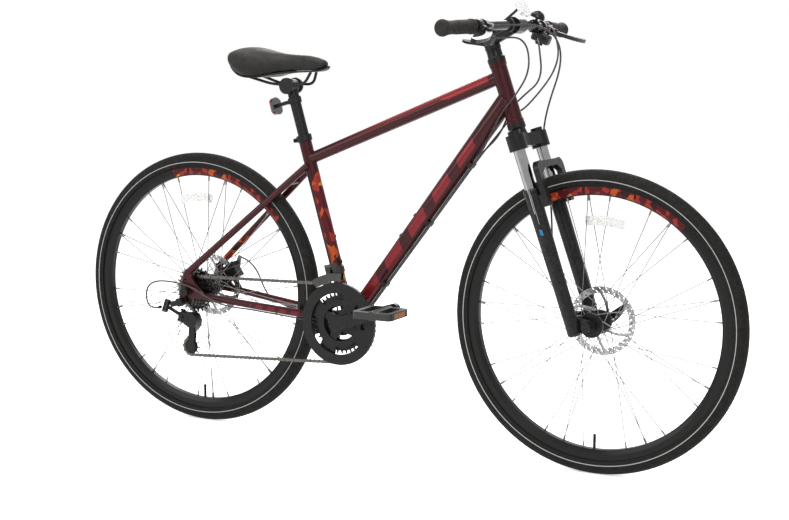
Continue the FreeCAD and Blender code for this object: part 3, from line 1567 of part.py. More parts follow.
def axle(name, place, radius, over_locknuts, left_nut, right_nut):
    """Axle with a locknut inside each dropout, a skewer nut on the right and a lever on the left."""
    half = over_locknuts / 2
    pieces = [cylinder_across(radius, -half - S.axle_end, half + S.axle_end)]
    for side, hub_end in ((1, left_nut), (-1, right_nut)):
        start = hub_end + S.running_gap
        low, high = (start, half) if side > 0 else (-half, -start)
        pieces.append(cylinder_across(S.locknut_radius, low, high))
    plate = half + (S.dropout_thickness if place is AT_REAR else S.fork_dropout_thickness)
    outer = plate + S.skewer_nut_length
    pieces.append(cylinder_across(S.skewer_nut_radius, -outer, -plate))
    pieces.append(cylinder_across(S.skewer_nut_radius, plate, outer))
    thick = S.skewer_lever_thickness
    face = slot_face(ORIGIN, Vector(S.skewer_lever_length * 0.8, 0, S.skewer_lever_length * 0.6),
                     S.skewer_lever_width * 0.6, S.skewer_lever_width / 2)
    pieces.append(shaped(slab(face, outer, outer + thick)))
    node(name, fuse(*pieces), place)


# Brakes

def caliper_frame(base, angle, side):
    """X along the rotor's rim, Y outward from the rotor and Z away from the axle."""
    return base.multiply(Placement(Vector(0, side, 0), Rotation(Y_AXIS, QUARTER_TURN - angle)))


def caliper_pieces(frame):
    """A body that straddles the rotor, and a pad on each side of it."""
    half_slot = S.caliper_slot / 2
    inner, outer = -half_slot - S.caliper_inner_side, half_slot + S.caliper_outer_side
    middle = Vector(0, (inner + outer) / 2, S.caliper_radius)
    block = box((S.caliper_length, outer - inner, S.caliper_height), frame.multVec(middle), frame.Rotation)
    roof = S.rotor_radius + S.pad_gap * 4
    slot = box((S.caliper_length * 2, S.caliper_slot, S.caliper_height * 2),
               frame.multVec(Vector(0, 0, roof - S.caliper_height)), frame.Rotation)
    bore = cylinder(S.pulley_pin_radius + S.bearing_gap, S.caliper_outer_side / 2,
                    along(frame.multVec(Vector(0, outer, S.caliper_radius)), frame.Rotation.multVec(-Y_AXIS)))
    pads = []
    pad = half_slot - S.rotor_thickness / 2 - S.pad_gap
    for side in (-1, 1):
        spot = Vector(0, side * (half_slot - pad / 2), S.rotor_radius - S.rotor_band / 2)
        pads.append(box((S.pad_length, pad, S.pad_height), frame.multVec(spot), frame.Rotation))
    return block, [slot, bore], pads


def arm_heading(lean):
    return polar(S.arm_length, QUARTER_TURN - lean)


def arm_tip(frame, lean):
    """Where a cable meets the end of a caliper arm."""
    side = S.caliper_slot / 2 + S.caliper_outer_side + S.running_gap + S.arm_thickness / 2
    return frame.multVec(arm_heading(lean) + Vector(0, side, S.caliper_radius))


def caliper_arm(name, frame, lean):
    """The arm that the cable pulls, on a pin in the outer side of its caliper."""
    start = S.caliper_slot / 2 + S.caliper_outer_side + S.running_gap
    face = slot_face(ORIGIN, arm_heading(lean), S.arm_hub_radius, S.arm_tip_radius)
    arm = shaped(slab(face, start, start + S.arm_thickness).translated(Vector(0, 0, S.caliper_radius)))
    pin = cylinder_across(S.pulley_pin_radius, start - S.caliper_outer_side / 3, start + S.arm_thickness,
                          0, S.caliper_radius)
    node(name, fuse(arm, pin), frame)


FRONT_CALIPER_ANGLE = 166
REAR_CALIPER_ANGLE = 34
FRONT_ARM_LEAN = 40
REAR_ARM_LEAN = -40
FRONT_CALIPER = caliper_frame(STEER.multiply(across(0, S.fork_rake)), FRONT_CALIPER_ANGLE, S.front_rotor_place)
REAR_CALIPER = caliper_frame(AT_REAR, REAR_CALIPER_ANGLE, S.rear_rotor_place)


def calipers():
    block, cuts, pads = caliper_pieces(FRONT_CALIPER)
    outer = S.caliper_slot / 2 + S.caliper_outer_side
    reach = S.leg_offset - S.fork_rake + S.caliper_radius
    lug_height = reach - S.arm_hub_radius * 1.5
    side_low, side_high = outer / 2, LEG_SIDE - S.front_rotor_place
    lug = box((S.caliper_length / 3, side_high - side_low, lug_height),
              FRONT_CALIPER.multVec(Vector(S.caliper_length / 3, (side_low + side_high) / 2,
                                           S.caliper_radius - reach + lug_height / 2)), FRONT_CALIPER.Rotation)
    node("front_caliper", group(cut(fuse(block, lug), *cuts, NODES["fork_lowers"]), *pads))
    caliper_arm("front_caliper_arm", FRONT_CALIPER, FRONT_ARM_LEAN)
    block, cuts, pads = caliper_pieces(REAR_CALIPER)
    start = BRACKET + Vector(0, S.chainstay_start_half_gap, 0)
    end = REAR + Vector(S.chainstay_end_ahead, DROPOUT_MIDDLE, -S.chainstay_end_below)
    share = 0.93
    foot = start + (end - start) * share
    head = REAR_CALIPER.multVec(Vector(S.caliper_length / 3, outer - S.caliper_outer_side / 2,
                                       S.caliper_radius - S.caliper_height / 3))
    post = cylinder(S.caliper_outer_side / 2, (head - foot).Length,
                    along(foot, head - foot))
    chainstay = stay(start, end, S.chainstay_front_diameter, S.chainstay_rear_diameter)
    node("rear_caliper", group(cut(fuse(block, post), *cuts, chainstay), *pads))
    caliper_arm("rear_caliper_arm", REAR_CALIPER, REAR_ARM_LEAN)


# Drive

def pitch_radius(teeth):
    return S.chain_pitch / (2 * math.sin(math.pi / teeth))


def toothed_wire(teeth, phase, widen=1):
    """A sprocket outline. The phase is the angle of one gap between two teeth."""
    radius = pitch_radius(teeth)
    root = radius - S.roller_diameter / 2 - S.tooth_root_gap
    tip = radius + S.tooth_height
    corners = []
    for number in range(teeth):
        gap = math.radians(phase + FULL_TURN * number / teeth)
        outward = Vector(math.cos(gap), 0, math.sin(gap))
        sideways = Vector(-math.sin(gap), 0, math.cos(gap))
        for height, half in ((tip, -S.tooth_gap_mouth), (root, -S.tooth_gap_floor), (root, S.tooth_gap_floor),
                             (tip, S.tooth_gap_mouth)):
            corners.append(outward * height + sideways * (half * widen))
    return Part.makePolygon(corners + corners[:1])


def round_wire(radius, centre=ORIGIN):
    return Part.Wire(Part.makeCircle(radius, centre, Y_AXIS))


def sector_wire(inner, outer, start, end):
    """A window between two radii and two angles."""
    middle = (start + end) / 2
    return Part.Wire([
        Part.Arc(polar(outer, start), polar(outer, middle), polar(outer, end)).toShape(),
        Part.LineSegment(polar(outer, end), polar(inner, end)).toShape(),
        Part.Arc(polar(inner, end), polar(inner, middle), polar(inner, start)).toShape(),
        Part.LineSegment(polar(inner, start), polar(outer, start)).toShape(),
    ])


def holed(wires):
    return Part.Face(wires, "Part::FaceMakerBullseye")


class ChainPath:
    """The loop of tangents and arcs that the chain follows, in the XZ plane."""

    def __init__(self, wheels):
        self.wheels = wheels
        self.pieces = []
        touches = []
        for (centre, teeth, turn), (next_centre, next_teeth, next_turn) in zip(wheels, wheels[1:] + wheels[:1]):
            touches.append(self.tangent(centre, pitch_radius(teeth) * turn, next_centre,
                                        pitch_radius(next_teeth) * next_turn))
        for index, (centre, teeth, turn) in enumerate(wheels):
            arrive = touches[index - 1][1]
            leave = touches[index][0]
            start = math.atan2(arrive.z - centre.z, arrive.x - centre.x)
            end = math.atan2(leave.z - centre.z, leave.x - centre.x)
            swept = (start - end) % (2 * math.pi) if turn > 0 else (end - start) % (2 * math.pi)
            self.pieces.append(("arc", index, start, -turn, swept * teeth / (2 * math.pi)))
            line = touches[index][1] - touches[index][0]
            self.pieces.append(("line", touches[index][0], line.normalize(), 0,
                                (touches[index][1] - touches[index][0]).Length / S.chain_pitch))
        self.length = sum(piece[4] for piece in self.pieces)

    @staticmethod
    def tangent(centre, radius, next_centre, next_radius):
        """The line from one wheel to the next. A positive radius turns clockwise."""
        span = next_centre - centre
        distance = math.hypot(span.x, span.z)
        heading = math.atan2(span.z, span.x)
        lean = math.asin((radius - next_radius) / distance)
        normal = heading + math.pi / 2 - lean
        side = Vector(math.cos(normal), 0, math.sin(normal))
        return centre + side * radius, next_centre + side * next_radius

    def point(self, count):
        """The place of a roller, counted in pitches from the start of the first arc."""
        for kind, first, second, turn, pitches in self.pieces:
            if count <= pitches:
                break
            count -= pitches
        if kind == "line":
            return first + second * (count * S.chain_pitch)
        centre, teeth, sign = self.wheels[first]
        angle = second + turn * count * 2 * math.pi / teeth
        return centre + polar(pitch_radius(teeth), math.degrees(angle))

    def phase(self, wheel):
        """The angle of a roller on a wheel."""
        passed = 0
        for kind, first, second, turn, pitches in self.pieces:
            if kind == "arc" and first == wheel:
                ahead = math.ceil(passed) - passed
                teeth = self.wheels[wheel][1]
                return math.degrees(second + turn * ahead * 2 * math.pi / teeth)
            passed += pitches


GUIDE = REAR + Vector(S.guide_pulley_ahead, 0, -S.guide_pulley_below)


def chain_wheels(cage_angle):
    tension = GUIDE + polar(S.pulley_distance, cage_angle)
    sprocket = CASSETTE_TEETH[CHAIN_SPROCKET]
    return [(Vector(BRACKET), RING_TEETH[0], 1), (tension, PULLEY_TEETH, 1), (Vector(GUIDE), PULLEY_TEETH, -1),
            (Vector(REAR), sprocket, 1)]


def settled_chain():
    """Swings the cage until the loop holds a whole number of links."""
    slack, tight = -60, -150
    for attempt in range(60):
        angle = (slack + tight) / 2
        if ChainPath(chain_wheels(angle)).length > CHAIN_LINKS:
            tight = angle
        else:
            slack = angle
    return angle, ChainPath(chain_wheels(angle))


CAGE_ANGLE, CHAIN_PATH = settled_chain()
TENSION = CHAIN_PATH.wheels[1][0]


def link_plate(start, end, low, high):
    """A waisted side plate between two pins."""
    span = (end - start)
    middle = (start + end) / 2
    heading = math.degrees(math.atan2(span.z, span.x))
    high_side = polar(S.link_plate_half_height, heading + QUARTER_TURN)
    waist = polar(S.link_waist_half_height, heading + QUARTER_TURN)
    nose = polar(S.link_plate_half_height, heading)
    edges = [
        Part.Arc(start + high_side, start - nose, start - high_side).toShape(),
        Part.Arc(start - high_side, middle - waist, end - high_side).toShape(),
        Part.Arc(end - high_side, end + nose, end + high_side).toShape(),
        Part.Arc(end + high_side, middle + waist, start + high_side).toShape(),
    ]
    return slab(Part.Face(Part.Wire(edges)), low, high)


def chain():
    """Inner links with their rollers, and pairs of outer plates between them."""
    pins = [CHAIN_PATH.point(number) for number in range(CHAIN_LINKS)]
    inner = S.link_inner_half_width
    thick = S.link_plate_thickness
    outer = inner + thick + S.link_plate_gap
    shapes = []
    for number in range(CHAIN_LINKS):
        start, end = pins[number], pins[(number + 1) % CHAIN_LINKS]
        if number % 2:
            for side in SIDES.values():
                low, high = sorted((side * outer, side * (outer + thick)))
                shapes.append(link_plate(start, end, low, high))
            continue
        rollers = [Part.makeCylinder(S.roller_diameter / 2, inner * 2, pin - Y_AXIS * inner, Y_AXIS)
                   for pin in (start, end)]
        plates = [link_plate(start, end, inner, inner + thick), link_plate(start, end, -inner - thick, -inner)]
        shapes.append(plates[0].fuse([plates[1]] + rollers))
    node("chain", shaped(Part.makeCompound(shapes)), across(-S.chain_line))


def cassette():
    """Seven sprockets on their carrier, with the lockring outside."""
    bore = S.cassette_bore / 2
    half = S.sprocket_thickness / 2
    shapes = []
    lighten_share = 0.62
    for number, teeth in enumerate(CASSETTE_TEETH):
        phase = CHAIN_PATH.phase(3) if number == CHAIN_SPROCKET else 0
        wires = [toothed_wire(teeth, phase), round_wire(bore)]
        root = pitch_radius(teeth) - S.roller_diameter
        if root * lighten_share > bore:
            for window in range(SPIDER_ARMS + 1):
                start = FULL_TURN / (SPIDER_ARMS + 1) * window
                wires.append(sector_wire(root * lighten_share + S.ring_band / 4, root - S.ring_band / 4, start, start + 50))
        middle = -S.chain_line + (number - CHAIN_SPROCKET) * S.cassette_pitch
        shapes.append(slab(holed(wires), middle - half, middle + half))
    outer_side = -S.chain_line - CHAIN_SPROCKET * S.cassette_pitch - half
    inner_side = -S.rear_hub_right_end - S.running_gap
    hole = S.rear_axle_radius + S.bearing_gap
    carrier = holed([round_wire(bore), round_wire(hole)])
    shapes.append(slab(carrier, outer_side, inner_side))
    lockring = holed([round_wire(S.cassette_lockring_radius), round_wire(hole)])
    shapes.append(slab(lockring, outer_side - S.sprocket_thickness, outer_side))
    node("cassette", shaped(Part.makeCompound(shapes)), AT_REAR)


def spider_angles():
    step = FULL_TURN / SPIDER_ARMS
    return [S.crank_angle + step * (number + 1 / 2) for number in range(SPIDER_ARMS)]


def chainrings():
    """Three toothed rings on the spider, and the guard that stands outside the largest."""
    half = S.sprocket_thickness / 2
    shapes = []
    for number, teeth in enumerate(RING_TEETH):
        phase = CHAIN_PATH.phase(0) if number == 0 else S.crank_angle
        small = number == len(RING_TEETH) - 1
        bore = S.small_ring_bore_radius if small else S.ring_bore_radius
        wires = [toothed_wire(teeth, phase), round_wire(bore)]
        root = pitch_radius(teeth) - S.roller_diameter
        bolt = S.inner_ring_bolt_radius if small else S.spider_bolt_radius
        for angle in spider_angles():
            window_low, window_high = bolt + S.ring_band, root - S.ring_band / 2
            if small:
                window_low, window_high = S.inner_ring_bolt_radius, root - S.ring_band / 2
            if window_high - window_low > S.ring_band / 2:
                wires.append(sector_wire(window_low, window_high, angle + 18, angle + 72))
        middle = -S.chain_line + number * S.ring_pitch
        shapes.append(slab(holed(wires), middle - half, middle + half))
    outer_face = -S.chain_line - half - S.guard_gap
    guard = holed([round_wire(S.guard_radius), round_wire(S.guard_bore_radius)])
    guard_solid = slab(guard, outer_face - S.guard_thickness, outer_face)
    lip = holed([round_wire(S.guard_radius), round_wire(S.guard_radius - S.guard_lip)])
    shapes.append(guard_solid.fuse(slab(lip, outer_face, outer_face + S.guard_thickness / 2)))
    for angle in spider_angles():
        post = Part.Face(round_wire(S.guard_post_radius, polar(S.guard_bore_radius + S.guard_post_radius * 1.5, angle)))
        shapes.append(slab(post, outer_face, -S.chain_line - half))
    node("chainrings", shaped(Part.makeCompound(shapes)), AT_BRACKET)


def crank_arm(side, angle):
    inner, outer = S.crank_inner_face, S.crank_inner_face + S.crank_thickness
    eye = polar(S.crank_length, angle)
    arm = slab(slot_face(ORIGIN, eye, S.crank_boss_radius, S.crank_eye_radius), *sorted((side * inner, side * outer)))
    boss = slab(Part.Face(round_wire(S.crank_boss_radius)), *sorted((side * S.crank_boss_inner_face, side * outer)))
    return arm, boss, eye


def pedal_spindle(side, eye):
    start, end = S.crank_inner_face, S.pedal_start + S.pedal_width - S.pedal_rail_width / 2
    return slab(Part.Face(round_wire(S.pedal_spindle_radius, eye)), *sorted((side * start, side * end)))


def spindle_hole():
    half = S.shell_width / 2 + S.bottom_cup_flange + S.spindle_overlap
    return slab(Part.Face(round_wire(S.spindle_radius)), -half, half)


def cranks():
    half = S.sprocket_thickness / 2
    side = SIDES["right"]
    arm, boss, eye = crank_arm(side, S.crank_angle)
    solids = [boss]
    low, high = -S.chain_line + half, -S.chain_line + S.ring_pitch - half
    for angle in spider_angles():
        tip = polar(S.spider_bolt_radius, angle)
        solids.append(slab(slot_face(ORIGIN, tip, S.crank_boss_radius, S.spider_arm_width / 2), low, high))
        seat = polar(S.inner_ring_bolt_radius, angle)
        post = Part.Face(round_wire(S.guard_post_radius, seat))
        solids.append(slab(post, high, -S.chain_line + 2 * S.ring_pitch - half))
    spindle = pedal_spindle(side, eye)
    right = arm.fuse(solids).removeSplitter().cut([spindle_hole(), spindle])
    node("right_crank", shaped(Part.makeCompound([right, spindle])), AT_BRACKET)
    arm, boss, eye = crank_arm(SIDES["left"], S.crank_angle + FULL_TURN / 2)
    spindle = pedal_spindle(SIDES["left"], eye)
    left = arm.fuse([boss]).removeSplitter().cut([spindle_hole(), spindle])
    node("left_crank", shaped(Part.makeCompound([left, spindle])), AT_BRACKET)
    node("crank_spindle", shaped(spindle_hole()), AT_BRACKET)


def pedal(name, side, angle):
    """A caged platform on a barrel, with a reflector in each end."""
    eye = polar(S.crank_length, angle)
    start, end = S.pedal_start, S.pedal_start + S.pedal_width
    half_length, rail = S.pedal_length / 2, S.pedal_rail_width
    middle = side * (start + end) / 2
    frame = box((S.pedal_length, S.pedal_width, S.pedal_thickness), Vector(0, middle, 0))
    rounded = doc.addObject("Part::Fillet", "PedalFrame")
    rounded.Base = frame
    upright_edges = (1, 3, 5, 7)
    rounded.Edges = [(edge, float(S.pedal_corner), float(S.pedal_corner)) for edge in upright_edges]
    window = S.pedal_length / 2 - rail - S.pedal_barrel_radius
    gaps = [box((window, S.pedal_width - rail * 2, S.pedal_thickness * 2),
                Vector(sign * (S.pedal_barrel_radius + window / 2), middle, 0)) for sign in (-1, 1)]
    low, high = sorted((side * start, side * end))
    barrel = cylinder_across(S.pedal_barrel_radius, low, high)
    spindle_end = S.pedal_start + S.pedal_width - rail / 2 + S.running_gap
    bore_low, bore_high = sorted((0, side * spindle_end))
    bore = cylinder_across(S.pedal_spindle_radius + S.bearing_gap, bore_low, bore_high)
    lenses = []
    for sign in (-1, 1):
        spot = Vector(sign * (half_length - S.pedal_reflector_depth / 2), middle, 0)
        lenses.append(box((S.pedal_reflector_depth, S.pedal_reflector_length, S.pedal_reflector_height), spot))
    body = cut(fuse(cut(rounded, *gaps), barrel), bore, *lenses)
    node(name, group(body, *lenses), AT_BRACKET.multiply(Placement(eye, Rotation())))


# Front derailleur

FRONT_PIVOT = Vector(0, -S.front_pivot_side, S.front_pivot_height)


def front_derailleur():
    """A band on the seat tube with a forked body, and the cage that swings on its pin."""
    inner = S.seat_tube_diameter / 2
    outer = inner + S.front_band_wall
    width = S.front_band_width
    band_low = S.front_band_height - width / 2
    band = revolved([(inner, 0), (outer, 0), (outer, width), (inner, width)],
                    place=Placement(Vector(0, 0, band_low), Rotation()))
    eye = S.front_pivot_radius
    half = S.front_arm_width / 2
    cheek = half + S.running_gap + eye
    body_height = S.front_pivot_height + eye - band_low
    side_reach = S.front_pivot_side + eye
    body = box((cheek * 2, side_reach - inner / 2, body_height),
               Vector(0, -(side_reach + inner / 2) / 2, band_low + body_height / 2))
    slot = box((half * 2 + S.running_gap * 2, eye * 3, body_height * 3),
               Vector(0, -S.front_pivot_side - eye * 0.2, S.front_pivot_height))
    tube = upright(inner, 0, S.seat_tube_length)
    pin = cylinder(eye / 2, cheek * 2, along(FRONT_PIVOT - X_AXIS * cheek, X_AXIS))
    base = cut(fuse(band, body), slot, tube, pin)
    node("front_derailleur_base", group(base, pin), SEAT)
    low, high = S.cage_inner_radius, S.cage_inner_radius + S.cage_height
    face = Part.Face(sector_wire(low, high, S.cage_start_angle, S.cage_end_angle))
    gap, plate = S.cage_half_gap, S.cage_plate
    shapes = [slab(face, -S.chain_line - gap - plate, -S.chain_line - gap),
              slab(face, -S.chain_line + gap, -S.chain_line + gap + plate)]
    tail, nose = S.cage_end_angle, S.cage_start_angle
    bridges = ((tail - 4, tail, low, low + plate * 2), (nose + 12, nose + 24, high - plate * 2, high))
    for first, last, floor, roof in bridges:
        bridge = Part.Face(sector_wire(floor, roof, first, last))
        shapes.append(slab(bridge, -S.chain_line - gap - plate, -S.chain_line + gap + plate))
    cage = shapes[0].fuse(shapes[1:])
    cage.translate(BRACKET)
    pivot = on_seat(*FRONT_PIVOT)
    heading = on_seat(1, 0, 0) - BRACKET
    bolt = Part.makeCylinder(eye, half * 2, pivot - heading * half, heading)
    foot = on_seat(0, -S.chain_line + gap + plate / 2, high - plate)
    span = pivot - foot
    arm = Part.makeBox(half * 2, eye * 1.2, span.Length, Vector(-half, -eye * 0.6, 0))
    arm.Placement = Placement(foot, Rotation(heading, Vector(), span, "ZXY")).multiply(arm.Placement)
    hole = Part.makeCylinder(eye / 2 + S.bearing_gap, cheek * 4, pivot - heading * cheek * 2, heading)
    node("front_derailleur_cage", shaped(cage.fuse([bolt, arm]).cut(hole)))


# Rear derailleur

LINK_TOP = REAR + Vector(-S.link_pivot_behind, -S.link_pivot_side, -S.link_pivot_below)
KNUCKLE_SIDE = S.chain_line + S.cage_plate_gap + S.cage_plate_thickness + S.running_gap
LINK_LOW = REAR + Vector(-S.link_knuckle_behind, -KNUCKLE_SIDE - S.knuckle_length / 2, -S.link_knuckle_below)
LINK_AXIS = Rotation(X_AXIS, -S.link_slant).multVec(Z_AXIS)
BARREL_HEADING = polar(1, 194)


def capsule(start, end, radius):
    span = end - start
    rod = Part.makeCylinder(radius, span.Length, start, span)
    return rod.fuse([Part.makeSphere(radius, start), Part.makeSphere(radius, end)])


def pivot_rod(spot, radius, length):
    return Part.makeCylinder(radius, length, spot - LINK_AXIS * (length / 2), LINK_AXIS)


def rear_derailleur():
    """Mount on the hanger, slanted link, knuckle and the sprung cage with its two pulleys."""
    eye, pin = S.link_eye_radius, S.link_pin_radius
    tall = S.link_eye_height
    slit = tall / 2 + S.running_gap
    plate_outer = S.rear_over_locknuts / 2 + S.dropout_thickness
    hanger = REAR + Vector(-S.hanger_behind, 0, -S.hanger_below)
    boss = Part.makeCylinder(S.mount_radius, S.mount_length, hanger - Y_AXIS * plate_outer, -Y_AXIS)
    elbow = hanger - Y_AXIS * (plate_outer + S.mount_length / 2)
    arm = capsule(elbow, Vector(LINK_TOP), eye * 0.9)
    head = pivot_rod(LINK_TOP, eye, tall * 2)
    gap = pivot_rod(LINK_TOP, eye * 2.2, slit * 2)
    barrel = Part.makeCylinder(S.barrel_radius, S.barrel_length, Vector(LINK_TOP), BARREL_HEADING)
    mount = boss.fuse([arm, head, barrel]).cut([gap, pivot_rod(LINK_TOP, pin, tall * 4)])
    keep = hanger_keep(plate_outer)
    node("rear_derailleur_mount", shaped(Part.makeCompound([mount.cut(keep), pivot_rod(LINK_TOP, pin, tall * 2)])))
    bar = capsule(Vector(LINK_TOP), Vector(LINK_LOW), S.link_bar_thickness / 2)
    link = bar.fuse([pivot_rod(LINK_TOP, eye, tall), pivot_rod(LINK_LOW, eye, tall)])
    bore = pin + S.bearing_gap
    node("rear_derailleur_link", shaped(link.cut([pivot_rod(LINK_TOP, bore, tall * 4), pivot_rod(LINK_LOW, bore, tall * 4)])))
    knuckle(eye, pin, tall, slit)
    cage()
    for name, centre, wheel in (("guide_pulley", GUIDE, 2), ("tension_pulley", TENSION, 1)):
        half = S.sprocket_thickness / 2
        bore_wire = round_wire(S.pulley_pin_radius + S.bearing_gap)
        disc = slab(holed([toothed_wire(PULLEY_TEETH, CHAIN_PATH.phase(wheel), PULLEY_GAP_SHARE), bore_wire]), -half, half)
        boss_half = S.cage_plate_gap - S.running_gap
        boss_face = holed([round_wire(S.pulley_boss_radius), bore_wire])
        pulley = disc.fuse(slab(boss_face, -boss_half, boss_half))
        node(name, shaped(pulley), Placement(centre - Y_AXIS * S.chain_line, Rotation()))


def hanger_keep(plate_outer):
    """Room for the dropout inside the mount's outer face."""
    room = Part.makeBox(S.cut_overrun * 2, plate_outer, S.cut_overrun * 2)
    room.translate(REAR + Vector(-S.cut_overrun, -plate_outer, -S.cut_overrun))
    return room


CAGE_PIVOT = GUIDE + Vector(S.cage_waist_radius, 0, S.cage_waist_radius / 2)


def knuckle(eye, pin, tall, slit):
    """The lower knuckle: a round housing over the cage pivot, forked round the link's eye."""
    inner = -KNUCKLE_SIDE
    outer = inner - S.knuckle_length
    tail = Vector(LINK_LOW.x, 0, LINK_LOW.z)
    centre = Vector(CAGE_PIVOT)
    housing = slab(slot_face(centre, tail, S.knuckle_radius, eye * 1.3), outer, inner)
    bore = slab(Part.Face(round_wire(S.knuckle_pin_radius + S.bearing_gap, centre)), outer + S.knuckle_length / 3, inner)
    gap = pivot_rod(LINK_LOW, eye * 1.9, slit * 2)
    path = capsule(Vector(LINK_LOW), Vector(LINK_TOP), eye * 1.6)
    sweep_room = [gap, path]
    head = pivot_rod(LINK_LOW, eye, tall * 2)
    body = housing.fuse(head).cut(sweep_room + [bore])
    pins = pivot_rod(LINK_LOW, pin, tall * 2)
    solids = sorted(body.Solids, key=lambda solid: solid.Volume)
    node("rear_derailleur_knuckle", shaped(Part.makeCompound(solids[-1:] + [pins.cut(solids[-1])])))


def cage():
    """Two plates that hold the pulleys on their pins, with the pivot that enters the knuckle."""
    gap, thick = S.cage_plate_gap, S.cage_plate_thickness
    guide, tension = Vector(GUIDE), Vector(TENSION)
    plates = []
    for side in SIDES.values():
        low, high = sorted((side * gap, side * (gap + thick)))
        low, high = low - S.chain_line, high - S.chain_line
        web = slab(slot_face(guide, tension, S.cage_waist_radius, S.cage_waist_radius * 0.99), low, high)
        plates.append(web)
        plates.append(slab(Part.Face(round_wire(S.cage_plate_radius, tension)), low, high))
    outer = -S.chain_line - gap - thick
    pad = slab(Part.Face(round_wire(S.cage_plate_radius, Vector(CAGE_PIVOT))), outer, outer + thick)
    pivot = slab(Part.Face(round_wire(S.knuckle_pin_radius, Vector(CAGE_PIVOT))), outer - S.knuckle_length / 2, outer)
    pins = [slab(Part.Face(round_wire(S.pulley_pin_radius, centre)), -S.chain_line - gap - thick, -S.chain_line + gap + thick)
            for centre in (guide, tension)]
    node("rear_derailleur_cage", shaped(plates[0].fuse(plates[1:] + [pad, pivot] + pins)))


# Cables

def down_lane(share, lane):
    """A point of one of the three lanes under the down tube."""
    start = Vector(BRACKET)
    span = on_steer(0, 0, HEAD_BOTTOM + S.down_tube_head_rise) - start
    normal = Vector(span).normalize().cross(Y_AXIS)
    return start + span * share - normal * cable_height(share) + Y_AXIS * (lane * cable_lane())


def beside_down_tube(share, side, below):
    """A point beside the down tube, at two shares of the lane's depth."""
    start = Vector(BRACKET)
    span = on_steer(0, 0, HEAD_BOTTOM + S.down_tube_head_rise) - start
    normal = Vector(span).normalize().cross(Y_AXIS)
    depth = cable_height(share)
    return start + span * share - normal * (depth * below) + Y_AXIS * (depth * side)


def around_stay(share, side, turn, room=0):
    """A point of the run along a chainstay, at a turn about it: below at -90 and outside at 0."""
    start = BRACKET + Vector(0, side * S.chainstay_start_half_gap, 0)
    end = REAR + Vector(S.chainstay_end_ahead, side * DROPOUT_MIDDLE, -S.chainstay_end_below)
    diameter = S.chainstay_front_diameter + (S.chainstay_rear_diameter - S.chainstay_front_diameter) * share
    reach = (diameter + S.cable_diameter) / 2 + S.running_gap * 2 + room
    offset = polar(reach, turn)
    return start + (end - start) * share + Vector(0, side * offset.x, offset.z)


def under_shell(side):
    drop = S.shell_diameter / 2 + S.cable_diameter * 2
    return BRACKET + Vector(S.cable_diameter * 2.4, side * cable_lane() * 1.5, -drop - S.cable_diameter / 2)


def outlet_run(frame, spot):
    """The first two points of a cable, straight out of a barrel on the right of the bar."""
    heading = frame.Rotation.multVec(Y_AXIS)
    start = frame.multVec(spot) + heading * (S.pod_barrel_length + S.running_gap)
    return [start, start + heading * S.pod_barrel_length]


